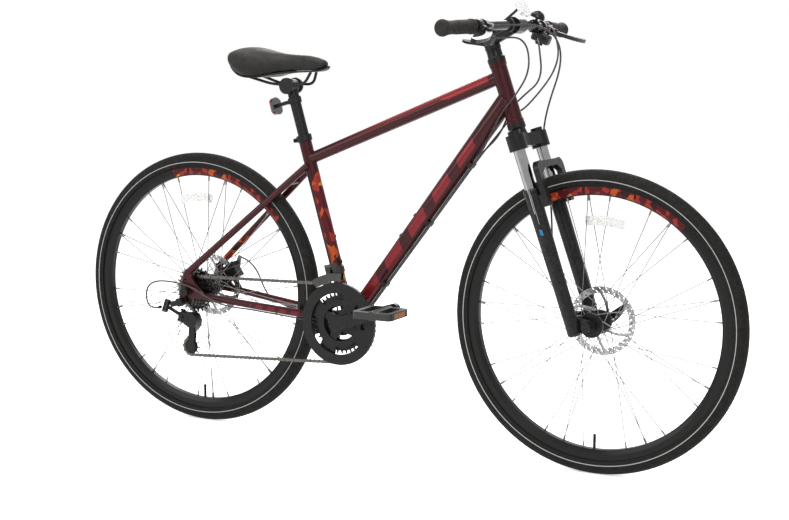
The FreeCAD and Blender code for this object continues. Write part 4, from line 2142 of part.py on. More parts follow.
def cables():
    """Housings from the bar to the derailleurs and brakes, with the loops that steering needs."""
    pod, perch = control_frame(POD_PLACE), control_frame(PERCH_PLACE)
    shift, brake = outlet_run(pod, shift_outlet()), outlet_run(perch, brake_outlet())
    reach, height = S.stem_reach, S.stem_clamp_top
    beside = S.head_tube_diameter * 0.75
    radius = S.cable_diameter / 2
    room = S.cable_diameter
    right, left = SIDES["right"], SIDES["left"]
    rear_end = LINK_TOP + BARREL_HEADING * (S.barrel_length + S.running_gap)
    loop = S.barrel_length * 1.7
    outside = -S.rear_over_locknuts / 2 - S.dropout_thickness - S.cable_diameter * 1.6
    above_axle = REAR.z + S.skewer_nut_radius + S.cable_diameter * 2.4
    rear_shift = shift + [
        on_steer(reach * 1.5, -beside * 2, height * 0.93), on_steer(reach * 1.2, -beside * 1.1, height * 0.83),
        on_steer(reach * 0.35, -beside, height * 0.765), on_steer(-reach * 0.2, -beside, height * 0.735),
        beside_down_tube(0.88, -0.9, 0.95), down_lane(0.8, -1), down_lane(0.05, -1), under_shell(right), around_stay(0.25, right, -90),
        around_stay(0.68, right, -90), around_stay(0.8, right, -45, room), around_stay(0.92, right, 0, room),
        Vector(REAR.x, outside, above_axle), Vector(rear_end.x - loop, outside, above_axle),
        rear_end + BARREL_HEADING * loop, rear_end]
    behind = -S.seat_tube_diameter / 2 - S.cable_diameter * 1.5
    drop = S.shell_diameter / 2 + S.cable_diameter * 2
    front_shift = other_side(shift) + [
        on_steer(reach * 1.35, beside * 1.2, height * 0.91), on_steer(reach * 1.15, beside, height * 0.8),
        on_steer(reach * 0.35, beside, height * 0.77), on_steer(-reach * 0.2, beside, height * 0.745),
        beside_down_tube(0.88, 0.35, 1.3), down_lane(0.8, 0), down_lane(0.05, 0), under_shell(0), BRACKET + Vector(behind * 1.5, 0, -drop),
        BRACKET + Vector(behind * 1.4, 0, 0),
        on_seat(behind, 0, S.front_pivot_height * 0.45),
        on_seat(behind, -S.front_pivot_side * 0.3, S.front_pivot_height * 0.8),
        on_seat(behind * 0.6, -S.front_pivot_side * 0.65, S.front_pivot_height - S.front_pivot_radius * 1.5)]
    rear_tip = arm_tip(REAR_CALIPER, REAR_ARM_LEAN)
    arm_room = S.arm_tip_radius + S.running_gap
    rear_brake = other_side(brake) + [
        on_steer(reach * 1.8, beside * 2.6, height * 0.95), on_steer(reach * 1.75, beside * 1.9, height * 0.83),
        on_steer(reach * 0.35, beside * 1.45, height * 0.735), on_steer(-reach * 0.2, beside * 1.35, height * 0.725),
        beside_down_tube(0.88, 1.25, 0.8), down_lane(0.8, 1), down_lane(0.05, 1), under_shell(left), around_stay(0.25, left, -90),
        around_stay(0.5, left, -90), around_stay(0.62, left, -45, room), around_stay(0.74, left, 0, room),
        Vector(REAR.x + S.chainstay_end_ahead * 2.6, rear_tip.y, rear_tip.z - S.arm_length * 0.3),
        rear_tip + Vector(arm_room, 0, -S.running_gap)]
    node("frame_cables", group(*[shaped(tube_shape(points, radius))
                                 for points in (rear_shift, front_shift, rear_brake)]))
    leg_side = LEG_SIDE + S.crown_clamp_diameter / 2 + S.cable_diameter
    front_tip = arm_tip(FRONT_CALIPER, FRONT_ARM_LEAN)
    tip = STEER.inverse().multVec(front_tip)
    front_brake = brake + [
        on_steer(reach * 2.15, -beside, height * 0.95), on_steer(reach * 2.1, beside * 1.2, height * 0.85),
        on_steer(S.leg_offset + S.crown_clamp_diameter / 2, leg_side, height * 0.7),
        on_steer(S.leg_offset / 2, leg_side, S.crown_leg_bottom),
        on_steer(-S.leg_offset / 2, leg_side, S.lower_leg_top * 0.9),
        on_steer(tip.x + S.cable_diameter, tip.y, tip.z + S.arm_length * 3),
        front_tip + (on_steer(0, 0, 1) - STEER_ORIGIN) * arm_room]
    node("front_brake_cable", shaped(tube_shape(front_brake, radius)))


# Build every piece

def build():
    head_tube()
    top_tube()
    down_tube()
    seat_tube()
    bottom_bracket_shell()
    bearing_cups()
    dropouts()
    rear_stays()
    seat_clamp()
    seatpost()
    saddle()
    rear_reflector()
    fork_crown()
    stanchions()
    fork_lowers()
    stem()
    handlebar()
    grips()
    bar_controls()
    brake_levers()
    thumb_levers()
    front_reflector()
    tyre_ring, rim_ring = tyre(), rim()
    for name, place in (("front", AT_FRONT), ("rear", AT_REAR)):
        node(name + "_tyre", group(tyre_ring), place)
        node(name + "_rim", group(rim_ring), place)
    spokes("front_spokes", AT_FRONT, (S.front_left_flange, -S.front_right_flange), S.front_flange_radius, 86, 1)
    spokes("rear_spokes", AT_REAR, (S.rear_left_flange, -S.rear_right_flange), S.rear_flange_radius, 94, -1,
           [spoke_protector()])
    front_hub()
    rear_hub()
    rotor("front_rotor", AT_FRONT, S.front_rotor_place)
    rotor("rear_rotor", AT_REAR, S.rear_rotor_place)
    axle("front_axle", AT_FRONT, S.front_axle_radius, S.front_over_locknuts, S.front_hub_end, S.front_hub_end)
    cassette_side = S.chain_line + (CHAIN_SPROCKET + 1) * S.cassette_pitch
    axle("rear_axle", AT_REAR, S.rear_axle_radius, S.rear_over_locknuts, S.rear_hub_left_end, cassette_side)
    calipers()
    chain()
    cassette()
    chainrings()
    cranks()
    pedal("right_pedal", SIDES["right"], S.crank_angle)
    pedal("left_pedal", SIDES["left"], S.crank_angle + FULL_TURN / 2)
    front_derailleur()
    rear_derailleur()
    cables()


def write():
    doc.recompute()
    failed = [obj for obj in doc.Objects if "Invalid" in obj.State or "Error" in obj.State]
    if failed:
        raise RuntimeError("failed: %s" % [(obj.Label, obj.InList and obj.InList[0].Label) for obj in failed])
    broken = [name for name, obj in NODES.items() if obj.Shape.isNull() or not obj.Shape.isValid()]
    if broken:
        raise RuntimeError("no valid shape: %s" % broken)
    os.makedirs("parts", exist_ok=True)
    for name, obj in NODES.items():
        obj.Shape.exportStep("parts/%s.step" % name)


build()
write()
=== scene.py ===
import json
import math

import bmesh
import bpy
import numpy as np
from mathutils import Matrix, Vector

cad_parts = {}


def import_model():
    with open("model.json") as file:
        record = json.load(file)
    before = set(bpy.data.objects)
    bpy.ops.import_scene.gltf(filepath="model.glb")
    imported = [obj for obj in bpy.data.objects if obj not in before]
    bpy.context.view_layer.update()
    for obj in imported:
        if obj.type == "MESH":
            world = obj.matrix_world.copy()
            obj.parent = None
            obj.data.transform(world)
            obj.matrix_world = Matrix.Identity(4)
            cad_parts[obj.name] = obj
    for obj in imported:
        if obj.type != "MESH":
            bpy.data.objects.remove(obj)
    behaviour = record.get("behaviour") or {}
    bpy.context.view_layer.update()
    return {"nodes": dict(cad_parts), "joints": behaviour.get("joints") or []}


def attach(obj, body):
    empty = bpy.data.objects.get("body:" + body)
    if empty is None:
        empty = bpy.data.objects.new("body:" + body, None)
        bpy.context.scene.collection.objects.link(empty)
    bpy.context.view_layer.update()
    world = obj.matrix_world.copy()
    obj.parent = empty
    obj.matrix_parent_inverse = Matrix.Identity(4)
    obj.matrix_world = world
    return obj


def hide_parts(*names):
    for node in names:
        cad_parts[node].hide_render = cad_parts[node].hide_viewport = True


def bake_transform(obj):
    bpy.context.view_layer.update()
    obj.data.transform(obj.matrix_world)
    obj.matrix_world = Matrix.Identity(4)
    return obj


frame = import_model()
nodes = frame["nodes"]
joints = {joint["name"]: joint for joint in frame["joints"]}
scene = bpy.context.scene

# Places and headings of the frame, in metres

REAR_AXLE = Vector(joints["rear_wheel_spin"]["pos_m"])
FRONT_AXLE = Vector(joints["front_wheel_spin"]["pos_m"])
BRACKET = Vector(joints["crank_spin"]["pos_m"])
STEER_ORIGIN = Vector(joints["steering"]["pos_m"])
STEER_AXIS = Vector(joints["steering"]["axis"])
STEER_AHEAD = Vector((STEER_AXIS.z, 0, -STEER_AXIS.x))
SEAT_AXIS = Vector(joints["seat_height"]["axis"])
SEAT_AHEAD = Vector((SEAT_AXIS.z, 0, -SEAT_AXIS.x))
TOP_TUBE_ON_SEAT = 0.411
TOP_TUBE_ON_HEAD = 0.604
DOWN_TUBE_ON_HEAD = 0.552
TOP_START = BRACKET + SEAT_AXIS * TOP_TUBE_ON_SEAT
TOP_END = STEER_ORIGIN + STEER_AXIS * TOP_TUBE_ON_HEAD
DOWN_END = STEER_ORIGIN + STEER_AXIS * DOWN_TUBE_ON_HEAD
DEGREES_PER_RADIAN = 180 / math.pi


class Look:
    """One material, with short calls for the nodes that it is made of.

    Places are in metres, in the object's frame.
    """

    def __init__(self, name, colour, **values):
        self.material = bpy.data.materials.new(name)
        self.material.use_nodes = True
        self.tree = self.material.node_tree
        self.surface = self.tree.nodes["Principled BSDF"]
        self.place = self.add("ShaderNodeTexCoord").outputs["Object"]
        self.colour = colour
        self.set(**values)

    def add(self, kind, **settings):
        made = self.tree.nodes.new(kind)
        for key, value in settings.items():
            setattr(made, key, value)
        return made

    def wire(self, value, socket):
        """Links a socket, or sets its value. A colour may leave out its alpha."""
        if isinstance(value, bpy.types.NodeSocket):
            self.tree.links.new(value, socket)
        elif hasattr(socket.default_value, "__len__") and len(socket.default_value) == 4 and len(value) == 3:
            socket.default_value = (*value, 1)
        else:
            socket.default_value = value

    def set(self, **values):
        for key, value in values.items():
            self.wire(value, self.surface.inputs[key.replace("_", " ").title().replace("Ior", "IOR")])
        return self

    def math(self, operation, first, second=0.0):
        made = self.add("ShaderNodeMath", operation=operation)
        for value, socket in zip((first, second), made.inputs):
            self.wire(value, socket)
        return made.outputs[0]

    def vector(self, operation, first, second):
        made = self.add("ShaderNodeVectorMath", operation=operation)
        self.wire(first, made.inputs[0])
        self.wire(second, made.inputs[1])
        return made.outputs["Value" if operation == "DOT_PRODUCT" else "Vector"]

    def joined(self, x, y, z=0.0):
        made = self.add("ShaderNodeCombineXYZ")
        for value, socket in zip((x, y, z), made.inputs):
            self.wire(value, socket)
        return made.outputs[0]

    def part(self, axis, vector=None):
        made = self.add("ShaderNodeSeparateXYZ")
        self.wire(vector or self.place, made.inputs[0])
        return made.outputs[axis]

    def away(self, value, middle):
        """The distance of a value from a middle, without its sign."""
        return self.math("ABSOLUTE", self.math("SUBTRACT", value, middle))

    def side(self):
        """The distance from the middle plane, the same on both sides."""
        return self.math("ABSOLUTE", self.part(1))

    def along(self, start, heading):
        """Distance from a point along a heading."""
        return self.vector("DOT_PRODUCT", self.vector("SUBTRACT", self.place, tuple(start)), tuple(heading))

    def step(self, value, low, high):
        """A smooth rise from 0 to 1 between two values; a fall where low is the larger."""
        made = self.add("ShaderNodeMapRange", interpolation_type="SMOOTHSTEP")
        for entry, socket in zip((value, low, high, 0.0, 1.0), made.inputs):
            self.wire(entry, socket)
        return made.outputs[0]

    def over(self, value, edge, soft):
        """1 above an edge, which is soft on both its sides."""
        return self.step(value, edge - soft, edge + soft)

    def under(self, value, edge, soft):
        """1 below an edge, which is soft on both its sides."""
        return self.step(value, edge + soft, edge - soft)

    def span(self, value, low, high, soft=0.0004):
        """1 between two values, with soft edges."""
        return self.both(self.over(value, low, soft), self.under(value, high, soft))

    def both(self, *masks):
        made = masks[0]
        for mask in masks[1:]:
            made = self.math("MULTIPLY", made, mask)
        return made

    def noise(self, scale, detail=2.0, vector=None):
        made = self.add("ShaderNodeTexNoise")
        self.wire(vector or self.place, made.inputs["Vector"])
        made.inputs["Scale"].default_value = scale
        made.inputs["Detail"].default_value = detail
        return made.outputs["Fac"]

    def cells(self, scale, feature="F1", output="Distance", vector=None):
        made = self.add("ShaderNodeTexVoronoi", feature=feature)
        self.wire(vector or self.place, made.inputs["Vector"])
        made.inputs["Scale"].default_value = scale
        return made.outputs[output]

    def mix(self, share, first, second):
        """A blend of two colours, whose sockets go by number because others share their names."""
        made = self.add("ShaderNodeMix", data_type="RGBA")
        self.wire(share, made.inputs["Factor"])
        self.wire(first, made.inputs[6])
        self.wire(second, made.inputs[7])
        return made.outputs[2]

    def ramp(self, value, stops):
        """Bands of colour, each from its place on."""
        made = self.add("ShaderNodeValToRGB")
        made.color_ramp.interpolation = "CONSTANT"
        while len(made.color_ramp.elements) < len(stops):
            made.color_ramp.elements.new(0.5)
        for element, (place, colour) in zip(made.color_ramp.elements, stops):
            element.position = place
            element.color = (*colour, 1)
        self.wire(value, made.inputs[0])
        return made.outputs[0]

    def paint(self, mask, colour):
        self.colour = self.mix(mask, self.colour, colour)
        return self

    def mottle(self, scale, shade):
        """Varies the colour a little towards another shade."""
        return self.paint(self.step(self.noise(scale), 0.35, 0.7), shade)

    def roughen(self, scale, low, high):
        """A roughness that varies between two values."""
        made = self.add("ShaderNodeMapRange")
        for entry, socket in zip((self.noise(scale, detail=3.0), 0.3, 0.7, low, high), made.inputs):
            self.wire(entry, socket)
        self.wire(made.outputs[0], self.surface.inputs["Roughness"])
        return self

    def bump(self, height, depth, strength):
        """Relief of a depth in metres, on top of any that is there."""
        made = self.add("ShaderNodeBump")
        made.inputs["Strength"].default_value = strength
        made.inputs["Distance"].default_value = depth
        self.wire(height, made.inputs["Height"])
        before = self.surface.inputs["Normal"]
        if before.is_linked:
            self.wire(before.links[0].from_socket, made.inputs["Normal"])
        self.wire(made.outputs[0], before)
        return self

    def done(self):
        self.wire(self.colour, self.surface.inputs["Base Color"])
        return self.material


# Frame paint and its plain graphics

WINE_DARK = (0.015, 0.0020, 0.0028)
WINE = (0.038, 0.0032, 0.0046)
BRIGHT_RED = (0.165, 0.011, 0.013)
BAR_RED = (0.135, 0.009, 0.012)
STAY_RED = (0.10, 0.008, 0.010)
PATCH_RED = (0.20, 0.018, 0.012)
PATCH_DARK = (0.02, 0.004, 0.005)
ORANGE = (0.30, 0.055, 0.009)
YELLOW = (0.38, 0.15, 0.022)
MAROON = (0.055, 0.004, 0.006)
PATCH_STOPS = (
    (0.0, MAROON), (0.27, PATCH_RED), (0.52, ORANGE), (0.68, MAROON), (0.86, YELLOW), (0.92, PATCH_DARK),
)


def wine_paint(name):
    """Dark wine red with fine flakes under a thin clear coat."""
    look = Look(name, WINE, metallic=0.25, coat_weight=0.16, coat_roughness=0.06, specular_ior_level=0.12)
    look.paint(look.step(look.noise(2400, detail=1.0), 0.42, 0.66), WINE_DARK)
    look.roughen(900, 0.30, 0.40)
    look.bump(look.noise(420), depth=0.00004, strength=0.4)
    return look


def upward(heading):
    return Vector((-heading.z, 0, heading.x))


def top_tube_look():
    """A lighter red flank on the upper part, which steps lower near the head and fades out behind."""
    flank_edge, edge_drop, edge_soft = 24.0, 32.0, 1.5
    step_start, step_end = 0.39, 0.42
    fade_start, fade_end, head_end = 0.08, 0.30, 0.5295
    look = wine_paint("wine_top_tube")
    heading = (TOP_END - TOP_START).normalized()
    run = look.along(TOP_START, heading)
    rise = look.along(TOP_START, upward(heading))
    angle = look.math("MULTIPLY", look.math("ARCTAN2", rise, look.side()), DEGREES_PER_RADIAN)
    drop = look.math("MULTIPLY", look.step(run, step_start, step_end), edge_drop)
    above = look.math("SUBTRACT", angle, look.math("SUBTRACT", flank_edge, drop))
    flank = look.both(look.over(above, 0, edge_soft), look.step(run, fade_start, fade_end),
                      look.under(run, head_end, 0.0005))
    return look.paint(flank, BRIGHT_RED).done()


def down_tube_look():
    """Slanted red bars on both sides, which get lower towards the head."""
    slant, pitch, bar_shares = 0.55, 0.106, (0.03, 0.66)
    first, last = 0.075, 0.60
    half_height, narrowing, bare_middle = 0.0150, 0.010, 0.0045
    look = wine_paint("wine_down_tube")
    heading = (DOWN_END - BRACKET).normalized()
    run = look.along(BRACKET, heading)
    rise = look.along(BRACKET, upward(heading))
    slanted = look.math("SUBTRACT", run, look.math("MULTIPLY", rise, slant))
    turn = look.math("FRACT", look.math("DIVIDE", look.math("SUBTRACT", slanted, first), pitch))
    height = look.math("SUBTRACT", half_height, look.math("MULTIPLY", run, narrowing))
    room = look.math("SUBTRACT", height, look.math("ABSOLUTE", rise))
    mask = look.both(look.span(turn, *bar_shares, soft=0.004), look.over(room, 0, 0.0002),
                     look.span(slanted, first, last, soft=0.0003),
                     look.over(look.side(), bare_middle, 0.0005))
    return look.paint(mask, BAR_RED).done()


def patches(look, mask, scale, vector=None):
    """Angular patches of orange, yellow and maroon."""
    tone = look.part(0, look.cells(scale, output="Color", vector=vector))
    look.paint(mask, look.ramp(tone, PATCH_STOPS))


def seat_tube_look():
    """Angular patches on the front of the tube, up to a slanted edge."""
    low, high = 0.06, 0.40
    edge_height, edge_slope, front_line = 0.352, 1.5, -0.002
    narrowing, scale = 1.6, 46
    look = wine_paint("wine_seat_tube")
    run = look.along(BRACKET, SEAT_AXIS)
    front = look.along(BRACKET, SEAT_AHEAD)
    long_cells = look.joined(look.math("MULTIPLY", front, narrowing),
                             look.math("MULTIPLY", look.part(1), narrowing), run)
    edge = look.math("ADD", edge_height, look.math("MULTIPLY", front, edge_slope))
    mask = look.both(look.over(front, front_line, 0.0005), look.span(run, low, high, soft=0.001),
                     look.over(look.math("SUBTRACT", edge, run), 0, 0.001))
    patches(look, mask, scale, long_cells)
    return look.done()


def stays_look():
    """Short red bars along the chainstays, and patches on the inner face of the left seatstay."""
    pitch, slant, bar_shares = 0.034, 0.5, (0.1, 0.72)
    bars_behind, bars_ahead, bars_top, bar_half_height = -0.36, -0.19, 0.3515, 0.005
    chainstay_slope = -0.0985
    seatstay_start, seatstay_side, seatstay_splay = -0.2127, 0.0152, 0.170
    inner_depth, bare_middle, patch_low, patch_high, scale = 0.0025, 0.0045, 0.4205, 0.599, 40
    look = wine_paint("wine_stays")
    x, y, z = (look.part(axis) for axis in range(3))
    slanted = look.math("SUBTRACT", x, look.math("MULTIPLY", z, slant))
    turn = look.math("FRACT", look.math("DIVIDE", slanted, pitch))
    fall = look.math("MULTIPLY", look.math("SUBTRACT", x, BRACKET.x), chainstay_slope)
    tall = look.under(look.away(z, look.math("ADD", BRACKET.z, fall)), bar_half_height, 0.0002)
    bars = look.both(look.span(turn, *bar_shares, soft=0.01), look.span(x, bars_behind, bars_ahead),
                     look.under(z, bars_top, 0.0005), tall)
    look.paint(bars, STAY_RED)
    splay = look.math("MULTIPLY", look.math("SUBTRACT", seatstay_start, x), seatstay_splay)
    middle = look.math("ADD", seatstay_side, splay)
    inner = look.both(look.over(look.math("SUBTRACT", middle, y), inner_depth, 0.0005),
                      look.over(y, bare_middle, 0.0005),
                      look.over(z, patch_low, 0.0005), look.under(z, patch_high, 0.001))
    patches(look, inner, scale)
    return look.done()


# Metals, plastics and rubber

DEEP_BLACK = (0.006, 0.0056, 0.0053)
MOULDED_BLACK = (0.0085, 0.0082, 0.008)
MOULDED_SHADE = (0.014, 0.0135, 0.013)


def black_alloy(name, gloss=0.32):
    look = Look(name, DEEP_BLACK, coat_weight=0.05, coat_roughness=0.12, specular_ior_level=0.13)
    look.mottle(160, (0.010, 0.0096, 0.0094))
    look.roughen(380, gloss, gloss + 0.14)
    look.bump(look.noise(900), depth=0.00005, strength=0.5)
    return look.done()


def plastic(name, colour, rough=0.42):
    look = Look(name, colour, specular_ior_level=0.12)
    look.mottle(90, tuple(min(1.0, c * 1.5 + 0.002) for c in colour))
    look.roughen(500, rough, rough + 0.16)
    look.bump(look.noise(2600), depth=0.00006, strength=0.6)
    return look.done()


def metal(name, grey, rough):
    """Metal with a fine even grain, from a grey or from a colour."""
    colour = grey if isinstance(grey, tuple) else (grey, grey, grey)
    look = Look(name, colour, metallic=1.0)
    look.mottle(60, tuple(c * 0.86 for c in colour))
    look.roughen(700, rough * 0.8, rough * 1.3)
    look.bump(look.noise(1500), depth=0.00003, strength=0.5)
    return look.done()


def turned_metal(name, colour, rough, centre):
    """Metal with fine rings about a wheel's axle."""
    rings_per_metre = 5200.0
    look = Look(name, colour, metallic=1.0)
    reach = polar_parts(look, centre)[0]
    rings = look.noise(1.0, vector=look.joined(look.math("MULTIPLY", reach, rings_per_metre), 0.0))
    look.roughen(400, rough * 0.85, rough * 1.25)
    look.mottle(50, tuple(c * 0.84 for c in colour))
    look.bump(rings, depth=0.00004, strength=0.7)
    return look.done()


def polar_parts(look, centre):
    """Distance from a wheel's axle, and the angle about it in radians."""
    x = look.math("SUBTRACT", look.part(0), centre.x)
    z = look.math("SUBTRACT", look.part(2), centre.z)
    reach = look.math("SQRT", look.math("ADD", look.math("MULTIPLY", x, x), look.math("MULTIPLY", z, z)))
    return reach, look.math("ARCTAN2", z, x)


def tyre_look(name, centre):
    """Rubber with a fine block tread and a thin pale line on each side."""
    radius, line_inner, line_outer = 0.351, 0.3268, 0.3286
    tread_start, tread_full = 0.3365, 0.3405
    ribs_end, ribs_full, ribs_per_metre = 0.3340, 0.3325, 4200.0
    blocks_round, blocks_across = 150.0, 165.0
    look = Look(name, (0.0085, 0.0078, 0.0070), specular_ior_level=0.08)
    reach, angle = polar_parts(look, centre)
    look.mottle(120, (0.013, 0.0122, 0.0115))
    look.paint(look.span(reach, line_inner, line_outer, soft=0.0002), (0.30, 0.31, 0.31))
    run = look.math("MULTIPLY", angle, radius)
    blocks = look.joined(look.math("MULTIPLY", run, blocks_round),
                         look.math("MULTIPLY", look.part(1), blocks_across))
    grooves = look.cells(1.0, "DISTANCE_TO_EDGE", vector=blocks)
    tread = look.both(grooves, look.step(reach, tread_start, tread_full))
    look.roughen(300, 0.55, 0.75)
    look.bump(look.step(tread, 0.05, 0.16), depth=0.0009, strength=0.8)
    ribs = look.math("SINE", look.math("MULTIPLY", reach, ribs_per_metre))
    look.bump(look.both(ribs, look.step(reach, ribs_end, ribs_full)), depth=0.00006, strength=0.5)
    return look.done()


def rim_look(name, centre, middle, reach_degrees):
    """Black rim with angular patches on an arc of its flanks."""
    flank_side, flank_inner, flank_outer = 0.0076, 0.2955, 0.3125
    patches_round, patches_across = 22.0, 70.0
    look = Look(name, (0.006, 0.0057, 0.0054), coat_weight=0.08, coat_roughness=0.12, specular_ior_level=0.1)
    look.roughen(260, 0.28, 0.40)
    reach, angle = polar_parts(look, centre)
    off_middle = look.away(look.math("MULTIPLY", angle, DEGREES_PER_RADIAN), middle)
    mask = look.both(look.step(off_middle, reach_degrees / 2 + 0.4, reach_degrees / 2),
                     look.over(look.side(), flank_side, 0.0002),
                     look.span(reach, flank_inner, flank_outer, soft=0.0003))
    patches(look, mask, 1.0, look.joined(look.math("MULTIPLY", angle, patches_round),
                                         look.math("MULTIPLY", reach, patches_across)))
    look.bump(look.noise(700), depth=0.00003, strength=0.4)
    return look.done()


def fork_look():
    """Satin black with two thin pale lines and a small blue block on the outer face of each leg."""
    outer_side, slant = 0.0725, 0.5
    wide_line, wide_run = (0.016, 0.0175), (0.285, 0.345)
    thin_line, thin_run = (0.0195, 0.0203), (0.262, 0.345)
    block_width, block_run = (0.015, 0.022), (0.236, 0.249)
    look = Look("fork_black", DEEP_BLACK, coat_weight=0.12, coat_roughness=0.10, specular_ior_level=0.12)
    look.mottle(140, (0.013, 0.013, 0.014))
    look.roughen(300, 0.26, 0.36)
    ahead = look.along(STEER_ORIGIN, STEER_AHEAD)
    run = look.math("ADD", look.along(STEER_ORIGIN, STEER_AXIS), look.math("MULTIPLY", ahead, slant))
    outside = look.over(look.side(), outer_side, 0.0005)
    wide = look.both(look.span(ahead, *wide_line, soft=0.0002), look.span(run, *wide_run), outside)
    thin = look.both(look.span(ahead, *thin_line, soft=0.0002), look.span(run, *thin_run), outside)
    look.paint(look.math("MAXIMUM", wide, thin), (0.32, 0.33, 0.34))
    block = look.both(look.span(ahead, *block_width, soft=0.0003), look.span(run, *block_run), outside)
    look.paint(block, (0.02, 0.13, 0.26))
    look.bump(look.noise(1000), depth=0.00004, strength=0.4)
    return look.done()


PRISM_SCALE = 520


def front_lens_look():
    """A moulded white reflector with small prisms behind a clear face."""
    colour = (0.72, 0.72, 0.70)
    look = Look("white_lens", colour, coat_weight=1.0, coat_roughness=0.04, metallic=0.35)
    prism = look.cells(PRISM_SCALE)
    look.paint(look.step(prism, 0.2, 0.7), tuple(c * 0.55 for c in colour))
    look.roughen(80, 0.14, 0.22)
    look.bump(prism, depth=0.0006, strength=0.7)
    return look.done()


def tail_lens_look():
    """A red lens with a dark moulded front."""
    lens_front = -0.059
    look = Look("red_lens", (0.30, 0.008, 0.010), coat_weight=0.6, coat_roughness=0.05, metallic=0.2)
    prism = look.cells(PRISM_SCALE)
    look.paint(look.step(prism, 0.2, 0.7), (0.15, 0.004, 0.005))
    look.paint(look.over(look.along(BRACKET, SEAT_AHEAD), lens_front, 0.0002), (0.008, 0.0078, 0.0076))
    look.roughen(80, 0.16, 0.26)
    look.bump(prism, depth=0.0005, strength=0.6)
    return look.done()


def grip_look():
    """Rubber with fine rings and diamonds."""
    rings_per_metre, rings_end = 1900.0, 0.3125
    look = Look("grip_rubber", (0.017, 0.0155, 0.0135), specular_ior_level=0.10)
    look.mottle(200, (0.026, 0.024, 0.021))
    look.roughen(500, 0.62, 0.80)
    out = look.side()
    rings = look.math("SINE", look.math("MULTIPLY", out, rings_per_metre))
    diamonds = look.cells(420, "DISTANCE_TO_EDGE")
    look.bump(look.both(rings, look.under(out, rings_end, 0.0025)), depth=0.00025, strength=0.6)
    look.bump(look.step(diamonds, 0.05, 0.25), depth=0.0002, strength=0.5)
    return look.done()


def cover_look():
    """Grained black vinyl."""
    look = Look("saddle_vinyl", (0.0125, 0.0115, 0.0100), specular_ior_level=0.14)
    look.mottle(70, (0.017, 0.0155, 0.0135))
    look.roughen(180, 0.50, 0.64)
    look.bump(look.cells(1150, "SMOOTH_F1"), depth=0.00022, strength=0.55)
    look.bump(look.noise(420, detail=4.0), depth=0.00018, strength=0.4)
    return look.done()


# The right shifter pod's middle, and its headings: ahead, across and up
POD_CENTRE = (0.3305, -0.1614, 0.9943)
POD_AXES = ((0.917, -0.0739, -0.3919), (0.0941, 0.995, 0.0324), (0.3876, -0.0666, 0.9194))


def controls_look():
    """Moulded black, with a grey window and a short red hand on top of each shifter pod."""
    half_length, half_width, top = 0.013, 0.006, 0.0114
    hand_start, hand_end = 0.002, 0.0035
    look = Look("controls_plastic", MOULDED_BLACK, specular_ior_level=0.3)
    look.mottle(90, MOULDED_SHADE)
    look.roughen(500, 0.36, 0.5)
    right = look.math("MULTIPLY", look.side(), -1.0)
    offset = look.vector("SUBTRACT", look.joined(look.part(0), right, look.part(2)), POD_CENTRE)
    ahead, across, rise = (look.vector("DOT_PRODUCT", offset, axis) for axis in POD_AXES)
    window = look.both(look.span(ahead, -half_length, half_length),
                       look.span(across, -half_width, half_width),
                       look.over(rise, top, 0.0002))
    look.paint(window, (0.24, 0.245, 0.24))
    look.paint(look.both(window, look.span(ahead, hand_start, hand_end, soft=0.0002)), (0.36, 0.03, 0.012))
    look.bump(look.noise(2600), depth=0.00006, strength=0.6)
    return look.done()


def pedal_look(name, centre):
    """Moulded black with dull outer plates, and an amber reflector on the front and the back."""
    plate_side, lens_face, lens_half_width, lens_half_height = 0.0426, 0.04675, 0.0256, 0.00565
    look = Look(name, MOULDED_BLACK, specular_ior_level=0.2)
    look.mottle(90, MOULDED_SHADE)
    look.roughen(500, 0.34, 0.5)
    ahead, out, rise = (look.away(look.part(axis), middle) for axis, middle in enumerate(centre))
    look.paint(look.over(out, plate_side, 0.0001), (0.026, 0.0255, 0.025))
    lens = look.both(look.over(ahead, lens_face, 0.00015), look.under(out, lens_half_width, 0.0002),
                     look.under(rise, lens_half_height, 0.00015))
    look.paint(lens, (0.22, 0.075, 0.010))
    look.bump(look.both(look.cells(PRISM_SCALE), lens), depth=0.0005, strength=0.6)
    return look.done()


def clear_plastic():
    look = Look("clear_plastic", (0.80, 0.81, 0.82), roughness=0.08, transmission_weight=0.97, ior=1.2)
    look.mottle(60, (0.70, 0.71, 0.72))
    look.bump(look.noise(300), depth=0.0001, strength=0.4)
    return look.done()


# Which look each solid takes

WELD_STEPS_PER_METRE = 1e5


def islands(obj):
    """The loose parts of a mesh, each as its polygons' numbers and its lowest and highest corner."""
    mesh = obj.data
    co = np.empty(len(mesh.vertices) * 3, np.float32)
    mesh.vertices.foreach_get("co", co)
    co = co.reshape(-1, 3)
    steps = np.round(co * WELD_STEPS_PER_METRE).astype(np.int64)
    welded = np.unique(steps, axis=0, return_inverse=True)[1].reshape(-1)
    corners = np.empty(len(mesh.loops), np.int64)
    mesh.loops.foreach_get("vertex_index", corners)
    faces = welded[corners].reshape(-1, 3)
    label = np.arange(welded.max() + 1)
    while True:
        lowest = label[faces].min(axis=1)
        after = label.copy()
        np.minimum.at(after, faces.reshape(-1), np.repeat(lowest, 3))
        after = after[after]
        if np.array_equal(after, label):
            break
        label = after
    groups = label[faces[:, 0]]
    found = []
    for group in np.unique(groups):
        picked = np.nonzero(groups == group)[0]
        points = co[corners.reshape(-1, 3)[picked].reshape(-1)]
        found.append((picked, points.min(axis=0), points.max(axis=0)))
    return found


def dress(name, *materials, choose=None):
    """Gives a node its materials.

    The choice takes a loose part's low and high corner and gives a material's number.
    """
    mesh = nodes[name].data
    mesh.materials.clear()
    for material in materials:
        mesh.materials.append(material)
    chosen = np.zeros(len(mesh.polygons), np.int32)
    if choose:
        for picked, low, high in islands(nodes[name]):
            chosen[picked] = choose(low, high)
    mesh.polygons.foreach_set("material_index", chosen)
    mesh.update()


def shorter(length):
    """A choice that gives the second material to loose parts under a length."""
    return lambda low, high: int(float((high - low).max()) < length)


